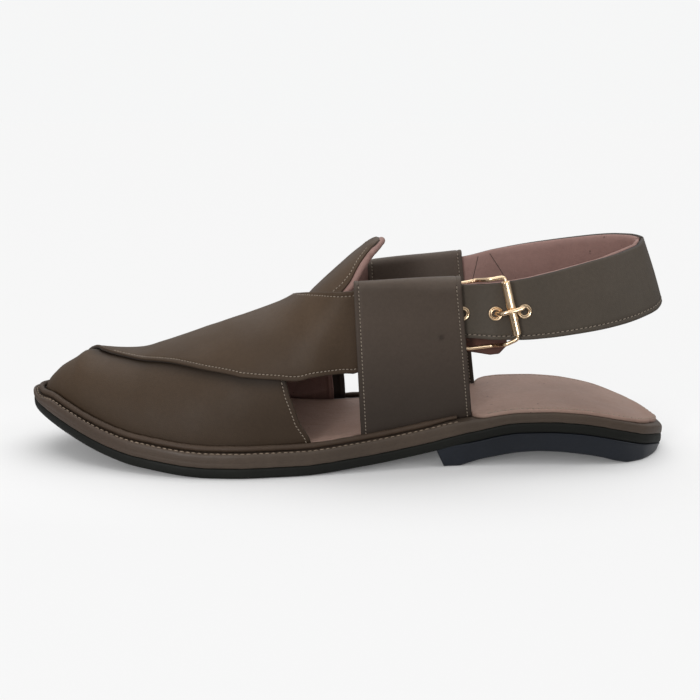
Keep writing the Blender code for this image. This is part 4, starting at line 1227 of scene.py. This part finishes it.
def build_midsole():
    def level(share):
        return lambda x: sole_top(x) + 0.05 + share * (band_top(x) - sole_top(x) - 0.05)

    def lip(deep):
        return lambda x: band_top(x) - deep * smooth((REST_BACK - BEAD_LATERAL_END + 14 - x) / 12)

    profile = [(inset, level(share)) for inset, share in (
        (0.9, 0.0), (0.45, 0.02), (0.25, 0.07), (0.12, 0.18), (0.04, 0.34), (0.11, 0.385), (0.04, 0.43),
        (0.0, 0.6), (0.04, 0.78), (0.2, 0.92), (0.55, 0.99), (0.9, 1.0))]
    profile += [(inset, lip(deep)) for inset, deep in (
        (1.15, 0.10), (1.45, 0.42), (1.8, 0.62), (2.3, 0.66), (2.9, 0.40), (3.6, 0.2), (6.0, 0.0))]
    stations = np.linspace(0.0, 1.0, 240)
    rings = np.array([sole_ring(s, profile, 8) for s in stations])
    phase = np.linspace(0, 1, len(stations))[:, None]
    ripple = 0.05 * np.sin(phase * 160) * np.sin(phase * 47 + 1) + 0.04 * np.sin(phase * 310 + 2)
    rings[:, 1:11, 2] += ripple
    thing = loft("sole_band", rings, [band_look], [0] * rings.shape[1], closed_ends=False)
    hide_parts("midsole")
    lateral, medial = forefoot(1.75, 240)
    path = np.concatenate([lateral[:-3], medial[3:]])
    line = np.column_stack([path, [lip(0.60)(x) for x in path[:, 0]]])
    up = np.tile([0.0, 0.0, 1.0], (len(line), 1))
    sole_seams.run(line, up, pitch=2.6, length=2.0, wide=0.3, lift=0.42, skew=0.05, seed=61)


def build_outsole():
    def low(rise):
        return lambda x: sole_bottom(x) + rise

    profile = [(inset, low(rise)) for inset, rise in (
        (2.4, 0.0), (1.6, 0.05), (1.0, 0.25), (0.55, 0.65), (0.25, 1.3), (0.15, 2.2), (0.15, 3.6),
        (0.25, 4.3), (0.5, OUTSOLE_THICK - 0.1), (1.0, OUTSOLE_THICK))]
    across = 58
    rings = np.array([sole_ring(s, profile, across) for s in np.linspace(0, 1, 300)])
    under = rings[:, 2 * len(profile) + across - 2 :]
    rest = under[..., 0] < REST_BACK - HEEL_LENGTH - 6
    edge = np.minimum(np.linalg.norm(under[..., :2] - rings[:, :1, :2], axis=-1),
                      np.linalg.norm(under[..., :2] - under[:, :1, :2], axis=-1))
    under[..., 2] += tread(under, TREAD_SLANT, edge) * rest
    thing = loft("outsole_tread", rings, [rubber], [0] * rings.shape[1], closed_ends=False)
    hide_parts("outsole")


def build_heel():
    stations = np.linspace(0, station_of(HEEL_LENGTH / LENGTH), 150)

    def level(share):
        return lambda x: heel_bottom(x) + share * (sole_bottom(x) - 0.05 - heel_bottom(x))

    shares = [0.0, 0.02, 0.07, 0.15, 0.3, 0.5, 0.7, 0.85, 0.95, 0.99, 1.0]
    insets = [2.9, 2.2, 1.75, 1.5, 1.3, 1.1, 0.9, 0.7, 0.55, 0.6, 0.9]
    profile = [(inset, level(share)) for share, inset in zip(shares, insets)]
    across, count = 40, len(profile)
    rings = np.array([sole_ring(s, profile, across) for s in stations])
    top = count + across - 2
    height = np.zeros(rings.shape[1])
    height[:count] = shares
    height[count:top] = 1
    height[top : top + count] = shares[::-1]
    near = smooth((REST_BACK - HEEL_LENGTH + 14 - rings[..., 0]) / 14)
    rings[..., 0] -= BREAST_SLANT * height * near
    under = rings[:, top + count :]
    edge = np.minimum(np.abs(under[..., 1] - rings[:, :1, 1]), np.abs(under[..., 1] - under[:, :1, 1]))
    back = REST_BACK - under[..., 0]
    ends = smooth((back - 8) / 3) * smooth((HEEL_LENGTH - 5 - back) / 3)
    under[..., 2] += tread(under, -TREAD_SLANT, edge) * ends
    thing = loft("heel_block", rings, [heel_look], [0] * rings.shape[1])
    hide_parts("heel")


INSOLE_INSET = WALL_INSET + 2 * LOOP_THICK + LOOP_FOOT_GAP + 2 * CLEAR


def ear_end(side):
    """Where the insole's ear ends, behind the foot of a side loop."""
    return REST_BACK - (loop_front(side) - LOOP_WIDTH - LOOP_LEAN - EAR_GAP)


def insole_inset(side, x):
    """Distance of the insole's edge from the outline: rounded ears behind the loops, narrow before them."""
    t = np.clip((x - ear_end(side)) / EAR_RADIUS, 0, 1)
    ahead = x < REST_BACK - loop_front(side)
    tip = smooth((0.12 - (1 - share_at(x))) / 0.08)
    deep = INSOLE_INSET - (1 - tip) * INSOLE_SPREAD * (ahead & (side < 0)) + tip * TOE_INSET
    return INSOLE_EDGE + (deep - INSOLE_EDGE) * (1 - np.sqrt(t * (2 - t)))


def build_insole():
    toe = REST_BACK - LENGTH + INSOLE_INSET + TOE_INSET
    heel = REST_BACK - INSOLE_EDGE - HEEL_RIM
    t = np.linspace(0, 1, 260)
    xs = heel - (heel - toe) * (1 - np.cos(math.pi * t)) / 2
    bend_in = EAR_RADIUS * (1 - np.cos(np.linspace(0, math.pi / 2, 14)))
    corner = np.concatenate([ear_end(side) + bend_in for side in (-1, 1)])
    xs = np.unique(np.round(np.concatenate([xs, corner, [ear_end(-1) - 0.1, ear_end(1) - 0.1]]), 3))[::-1]
    sides = {}
    for side in (-1, 1):
        wide, deep = side_at(xs, side, INSOLE_EDGE), side_at(xs, side, INSOLE_EDGE + 10)
        more = HEEL_RIM * smooth((xs - REST_BACK + 30) / 22)
        y = wide + (deep - wide) * (insole_inset(side, xs) + more - INSOLE_EDGE) / 10
        end = np.clip((heel - xs) / 7, 0, 1)
        y = y * np.sqrt(end * (2 - end))
        y[0] = y[-1] = 0
        sides[side] = y
    rise = INSOLE_THICK
    shape = [(0.25, 0.02), (0.05, 0.25), (0.0, 0.55), (0.1, 0.8), (0.35, 0.96), (0.8, 1.0), (1.3, 0.98),
             (1.7, 0.88), (2.0, 0.84), (2.3, 0.88), (2.8, 1.0)]
    across, groove = 42, 8
    rings = []
    for i, x in enumerate(xs):
        base = float(band_top(x)) + 0.05
        low, high = sides[-1][i], sides[1][i]
        half = (high - low) / 2
        scale = min(1.0, half / 5.0)
        ring = [(x, low + inset * scale, base + share * rise) for inset, share in shape]
        start, end = low + shape[-1][0] * scale, high - shape[-1][0] * scale
        for c in np.linspace(0, 1, across)[1:-1]:
            y = start + (end - start) * c
            print_of_foot = -0.5 * math.exp(-((x + 38) / 30) ** 2 - (y / 17) ** 2)
            dip = 0.09 * math.sin(x / 6.1 + y / 9.0) + 0.07 * math.sin(y / 4.7 - x / 11.0)
            rear = smooth((x - (REST_BACK - 22)) / 12)
            angle = math.atan2(y, REST_BACK - 30 - x + 1e-6)
            ray = 0.24 * rear * math.sin(angle * 46) * smooth((x - REST_BACK + 16) / 8)
            edge = math.sin(math.pi * c) ** 0.4
            ring.append((x, y, base + rise + (print_of_foot + dip) * edge + ray))
        ring += [(x, high - inset * scale, base + share * rise) for inset, share in shape[::-1]]
        ring += [(x, high + (low - high) * c, base) for c in np.linspace(0.05, 0.95, 6)]
        rings.append(ring)
    thing = loft("insole_pad", rings, [insole_look], [0] * len(rings[0]))
    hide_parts("insole")
    rings = np.array(rings)
    seat = rings[:, 0, 0] > ear_end(-1) + EAR_RADIUS
    seat[:3] = False
    far_groove = 2 * len(shape) + across - 3 - groove
    line = np.concatenate([rings[seat][::-1, groove], rings[seat][:, far_groove]])
    up = np.tile([0.0, 0.0, 1.0], (len(line), 1))
    seams.run(line, up, pitch=2.4, length=1.6, wide=0.24, lift=0.22, seed=71)


def build_bead():
    lateral, medial = forefoot(BEAD_INSET, 220)
    plan = np.concatenate([lateral, medial[1:]])
    path = np.column_stack([plan, band_top(plan[:, 0]) + 0.15 + BEAD_RADIUS])
    path = resample(path, np.linspace(0, along(path)[-1], 520))
    s = np.linspace(0, 1, len(path))
    radii = BEAD_RADIUS * (1 + 0.05 * np.sin(s * 220) * np.sin(s * 57) + 0.03 * np.sin(s * 431))
    radii *= np.clip(np.minimum(s, 1 - s) / 0.03, 0.35, 1) ** 0.5
    thing = pipe("seam_cord", path, radii, [bead_look], sides=14, up=(0, 0, 1))
    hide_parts("bead")


# Brass
def build_eyelets(frames):
    """Three flanged rings in the heel strap, each with a dark disc of painted shade in its hole."""
    for number, node in enumerate(("eyelet_rear", "eyelet_middle", "eyelet_front")):
        back = EYELET_BACK + (number - 1) * EYELET_PITCH + FRONT_EYELET_SHIFT * (number == 2)
        centre, out, thick = strap_spot(frames, back, EYELET_UP)
        seat = PAD_BULGE * thick + 0.02
        hole = EYELET_HOLE - 0.4
        profile = [(hole + 0.25, -thick * 0.4), (hole + 0.02, -thick * 0.38), (hole, seat)]
        for share, rise in ((0.06, 0.34), (0.16, 0.5), (0.28, 0.52), (0.38, 0.36), (0.46, 0.27), (0.56, 0.34),
                            (0.7, 0.56), (0.84, 0.56), (0.95, 0.34), (1.0, 0.0)):
            profile.append((hole + (EYELET_RADIUS - hole) * share, seat + rise))
        profile += [(EYELET_RADIUS - 0.1, seat - 0.12), (EYELET_HOLE + 0.3, seat - 0.12)]
        ring = lathe(node.replace("eyelet", "ring"), profile[::-1], centre, out, brass)
        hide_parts(node)
        # Painted shade: a near-black disc just inside the ring stands in for the dark of the hole.
        points = [centre + 0.3 * out + (EYELET_HOLE + 0.1) * edge for edge in turned(out, [0, 0, 1.0], 24)]
        hole_shade_disc = add_mesh(node + "_depth", points, [tuple(range(24))], [pin_shade])


def build_buckle(frames):
    """Wire, roller, prong and the leather flap that anchors them under the lateral loop."""
    def layer(back, z, depth):
        x = REST_BACK - back
        return np.array([x, float(loop_side(-1, x, z, depth)), z])

    spot, _, thick = strap_spot(frames, BUCKLE_BACK, 0.3)
    outer = spot[1] - PAD_BULGE * thick - CLEAR - ROLLER_RADIUS
    crossing = spot[1] - PAD_BULGE * thick - CLEAR - WIRE_RADIUS
    _, _, thin = strap_spot(frames, BUCKLE_BACK + BUCKLE_LENGTH, 0.5)
    inner = STRAP_DEPTH_LATERAL + PAD_BULGE * thin + CLEAR + WIRE_RADIUS
    slope = 6.3
    left = BUCKLE_BACK + BUCKLE_LENGTH
    high = BUCKLE_LOW + BUCKLE_HEIGHT
    inside = layer(left, 0.5 * (BUCKLE_LOW + high), inner)[1]
    floor, roof = (layer(left, z, inner)[1] for z in (BUCKLE_LOW - 6, high - 3))
    corners = [
        (left, floor, BUCKLE_LOW - 7.1),
        (left, inside, 0.5 * (BUCKLE_LOW + high)),
        (left, roof, high - 3.2),
        (left - 5.0, roof + 0.2, high - 2.3),
        (left - 7.5, roof, high - 1.6),
        (left - 12.0, crossing - 0.4, high - 0.3),
        (BUCKLE_BACK + slope + 0.5, outer, high + 0.9),
        (BUCKLE_BACK, outer, BUCKLE_LOW - 1.0),
        (left - 19.8, crossing - 0.6, BUCKLE_LOW - 3.6),
        (left - 16.0, floor - 1.2, BUCKLE_LOW - 5.8),
        (left - 6.0, floor, BUCKLE_LOW - 7.4),
    ]
    path = np.array(rounded([(REST_BACK - back, y, z) for back, y, z in corners], 1.6, 9))
    wire = pipe("buckle_wire", path, WIRE_RADIUS + 0.05, [brass], sides=20, closed=True, up=(0, 0.3, 1))
    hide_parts("buckle_frame")

    foot = np.array([REST_BACK - BUCKLE_BACK, outer, BUCKLE_LOW - 1.0])
    head = np.array([REST_BACK - BUCKLE_BACK - slope - 0.5, outer, high + 0.9])
    direction = unit(head - foot)
    half = 0.5 * BUCKLE_HEIGHT - 0.6
    bore = WIRE_RADIUS + 0.12
    ends = ((0.0, 0.15), (0.1, 0.02), (0.3, 0.0), (0.9, 0.0))
    outer_line = [(ROLLER_RADIUS - deep, half - step) for step, deep in ends]
    profile = [(bore, half - 0.1), (bore + 0.15, half)] + outer_line
    profile += [(r, -h) for r, h in profile[::-1]]
    roller = lathe("roller_sleeve", profile, (foot + head) / 2, direction, brass, 56)
    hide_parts("buckle_roller")

    hole, _, thick = strap_spot(frames, EYELET_BACK, EYELET_UP)
    over = outer - ROLLER_RADIUS - CLEAR - PRONG_RADIUS
    points = [
        (REST_BACK - left + WIRE_RADIUS + PRONG_RADIUS + CLEAR, inside, hole[2]),
        (hole[0] - 4.0, inside, hole[2]),
        (hole[0] - 1.1, inside - 0.1, hole[2]),
        (hole[0] - 0.3, inside - 0.9, hole[2]),
        (hole[0] + 0.1, hole[1], hole[2]),
        (hole[0] + 0.5, hole[1] - thick / 2 - 1.4, hole[2] + 0.2),
        (hole[0] + 2.0, over + 0.9, hole[2] + 0.7),
        (hole[0] + 4.2, over - 0.1, hole[2] + 1.5),
        (hole[0] + 8.5, over - 0.1, hole[2] + 2.7),
        (hole[0] + 11.4, over + 0.3, hole[2] + 3.7),
    ]
    path = smooth_path(points, 90)
    s = np.linspace(0, 1, 90)
    radii = (PRONG_RADIUS + 0.28) * np.clip((1 - s) / 0.035, 0.15, 1) ** 0.5 * (1 - 0.12 * s)
    prong = pipe("prong_pin", path, radii, [brass], sides=18, flat=0.9, up=(0, 1, 0))
    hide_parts("buckle_prong")

    deep = inner + WIRE_RADIUS + CLEAR + FLAP_THICK / 2 + 0.05
    flap_rows = np.array([(77.0, 52.8, 66.0), (80.0, 49.2, 71.0), (84.0, 48.7, 73.5), (89.0, 49.6, 75.0),
                          (95.0, 50.6, 76.0), (101.5, 51.8, 76.0)])
    grid = []
    for back in np.linspace(101.5, 77.0, 40):
        low, top = (np.interp(back, flap_rows[:, 0], flap_rows[:, k]) for k in (1, 2))
        grid.append([layer(back, z, deep) for z in np.linspace(low, top, 26)])
    grid = np.array(grid)
    rows, columns = grid.shape[:2]
    near = [np.minimum(np.arange(count), np.arange(count)[::-1]) for count in (rows, columns)]
    gap = np.minimum(near[0][:, None], near[1]) * 0.55
    faces = grid_faces(rows, columns, flip=True)
    flap = shell("anchor_flap", grid.reshape(-1, 3), faces, gap.ravel(), FLAP_THICK,
                 [anchor_look, lining, cut_edge], turn=0.4)
    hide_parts("buckle_flap")


# Stage, light and camera
def aim(thing, direction):
    thing.rotation_mode = "QUATERNION"
    thing.rotation_quaternion = Vector(direction).to_track_quat("-Z", "Y")


def build_stage():
    """Wide pale floor with no gloss. Even light makes it as bright as the background."""
    mesh = bpy.data.meshes.new("floor")
    mesh.from_pydata([(x, y, 0) for x, y in ((-60, -60), (60, -60), (60, 60), (-60, 60))], [], [(0, 1, 2, 3)])
    floor = put("floor", mesh)
    paper = bpy.data.materials.new("paper")
    paper.use_nodes = True
    tree = paper.node_tree
    surface = tree.nodes["Principled BSDF"]
    surface.inputs["Roughness"].default_value = 1.0
    surface.inputs["Specular IOR Level"].default_value = 0.0
    surface.inputs["Emission Color"].default_value = (1, 1, 1, 1)
    reach = add_node(tree, "TexCoord").outputs["Object"]
    for operation, vector in (("ADD", (0.130, 0.0, 0.0)), ("MULTIPLY", (1 / 0.150, 1 / 0.050, 0.0))):
        reach = add_node(tree, "VectorMath", {0: reach, 1: vector}, operation=operation).outputs[0]
    reach = add_node(tree, "VectorMath", {0: reach}, operation="LENGTH").outputs["Value"]
    values = {"Value": reach, "From Min": 0.9, "From Max": 2.1, "To Min": NEAR_TONE, "To Max": FLOOR_TONE}
    tone = add_node(tree, "MapRange", values).outputs["Result"]
    tree.links.new(tone, surface.inputs["Base Color"])
    seen = add_node(tree, "LightPath").outputs["Is Camera Ray"]
    rest = add_node(tree, "Math", {0: tone, 1: -OPEN_LIGHT, 2: PAPER}, operation="MULTIPLY_ADD").outputs[0]
    glow = add_node(tree, "Math", {0: rest, 1: seen}, operation="MULTIPLY").outputs[0]
    tree.links.new(glow, surface.inputs["Emission Strength"])
    mesh.materials.append(paper)


def sun(name, place, strength, spread):
    """Sun from this side. It returns the light that falls on the floor."""
    light = bpy.data.lights.new(name, "SUN")
    light.energy = strength
    light.angle = math.radians(spread)
    aim(put(name, light), -Vector(place))
    return strength * Vector(place).normalized().z / math.pi


def panel(name, size, energy, place, target):
    """Lamp with a flat face that the camera does not see."""
    light = bpy.data.lights.new(name, "AREA")
    light.shape = "RECTANGLE"
    light.size, light.size_y = size
    light.energy = energy
    thing = put(name, light)
    thing.location = place
    aim(thing, Vector(target) - thing.location)
    thing.visible_camera = False
    return thing


def build_light():
    """Even light from all round, with suns over, before and behind. The open floor comes out as PAPER."""
    lit = sun("top_light", (0.10, 0.35, 1.0), TOP_LIGHT, 75)
    lit += sun("front_light", (-0.45, -1.0, 0.55), FRONT_LIGHT, 30)
    lit += sun("rear_light", (0.9, -0.35, 0.5), REAR_LIGHT, 30)
    panel("strip_light", (0.24, 0.75), STRIP_LIGHT, (-0.75, -1.15, 0.22), (-0.06, 0, 0.07))
    card = panel("brass_light", (0.11, 0.15), CARD_LIGHT, (0.035, -0.245, 0.040), (-0.065, -0.048, 0.075))
    card.data.diffuse_factor = 0.0
    bright = bpy.data.collections.new("brass")
    for piece in ("roller_sleeve", "prong_pin", "buckle_wire"):
        bright.objects.link(bpy.data.objects[piece])
    card.light_linking.receiver_collection = bright
    world = bpy.data.worlds.new("studio")
    bpy.context.scene.world = world
    world.use_nodes = True
    tree = world.node_tree
    around = tree.nodes["Background"]
    around.inputs["Color"].default_value = (1.0, 1.0, 1.0, 1)
    around.inputs["Strength"].default_value = OPEN_LIGHT - lit
    behind = add_node(tree, "Background", {"Color": (0.996, 1.0, 1.0, 1), "Strength": PAPER})
    seen = add_node(tree, "LightPath").outputs["Is Camera Ray"]
    choose = add_node(tree, "MixShader", {0: seen, 1: around.outputs[0], 2: behind.outputs[0]})
    tree.links.new(choose.outputs[0], tree.nodes["World Output"].inputs["Surface"])


def build_camera():
    camera = bpy.data.cameras.new("camera")
    camera.sensor_width = FILM
    camera.lens = FILM * FOCAL_PIXELS / PICTURE_PIXELS
    camera.clip_start, camera.clip_end = 0.02, 30
    thing = put("camera", camera)
    target, lean = np.array(CAMERA_TARGET), math.radians(CAMERA_LEAN)
    place = target + CAMERA_DISTANCE * np.array([0, -math.cos(lean), math.sin(lean)])
    thing.location = place * MM
    aim(thing, target - place)
    bpy.context.scene.camera = thing


bpy.context.scene.view_settings.view_transform = "Standard"
seams, sole_seams = Seams(), Seams()
build_under_strap()
build_over_strap()
build_tongue()
build_loop(-1, "loop_lateral", "lateral_loop", BUCKLE_GAP)
build_loop(1, "loop_medial", "medial_loop", LOOP_GAP)
strap_rows = build_heel_strap()
build_midsole()
build_outsole()
build_heel()
build_insole()
build_bead()
build_eyelets(strap_rows)
build_buckle(strap_rows)
seams.make("stitches", thread, pin_shade, "upper_leather")
sole_seams.make("sole_stitches", sole_thread, pin_shade, "sole_edge")
build_stage()
build_light()
build_camera()

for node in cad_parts.values():
    node.data.materials.clear()
    node.data.materials.append(leather)
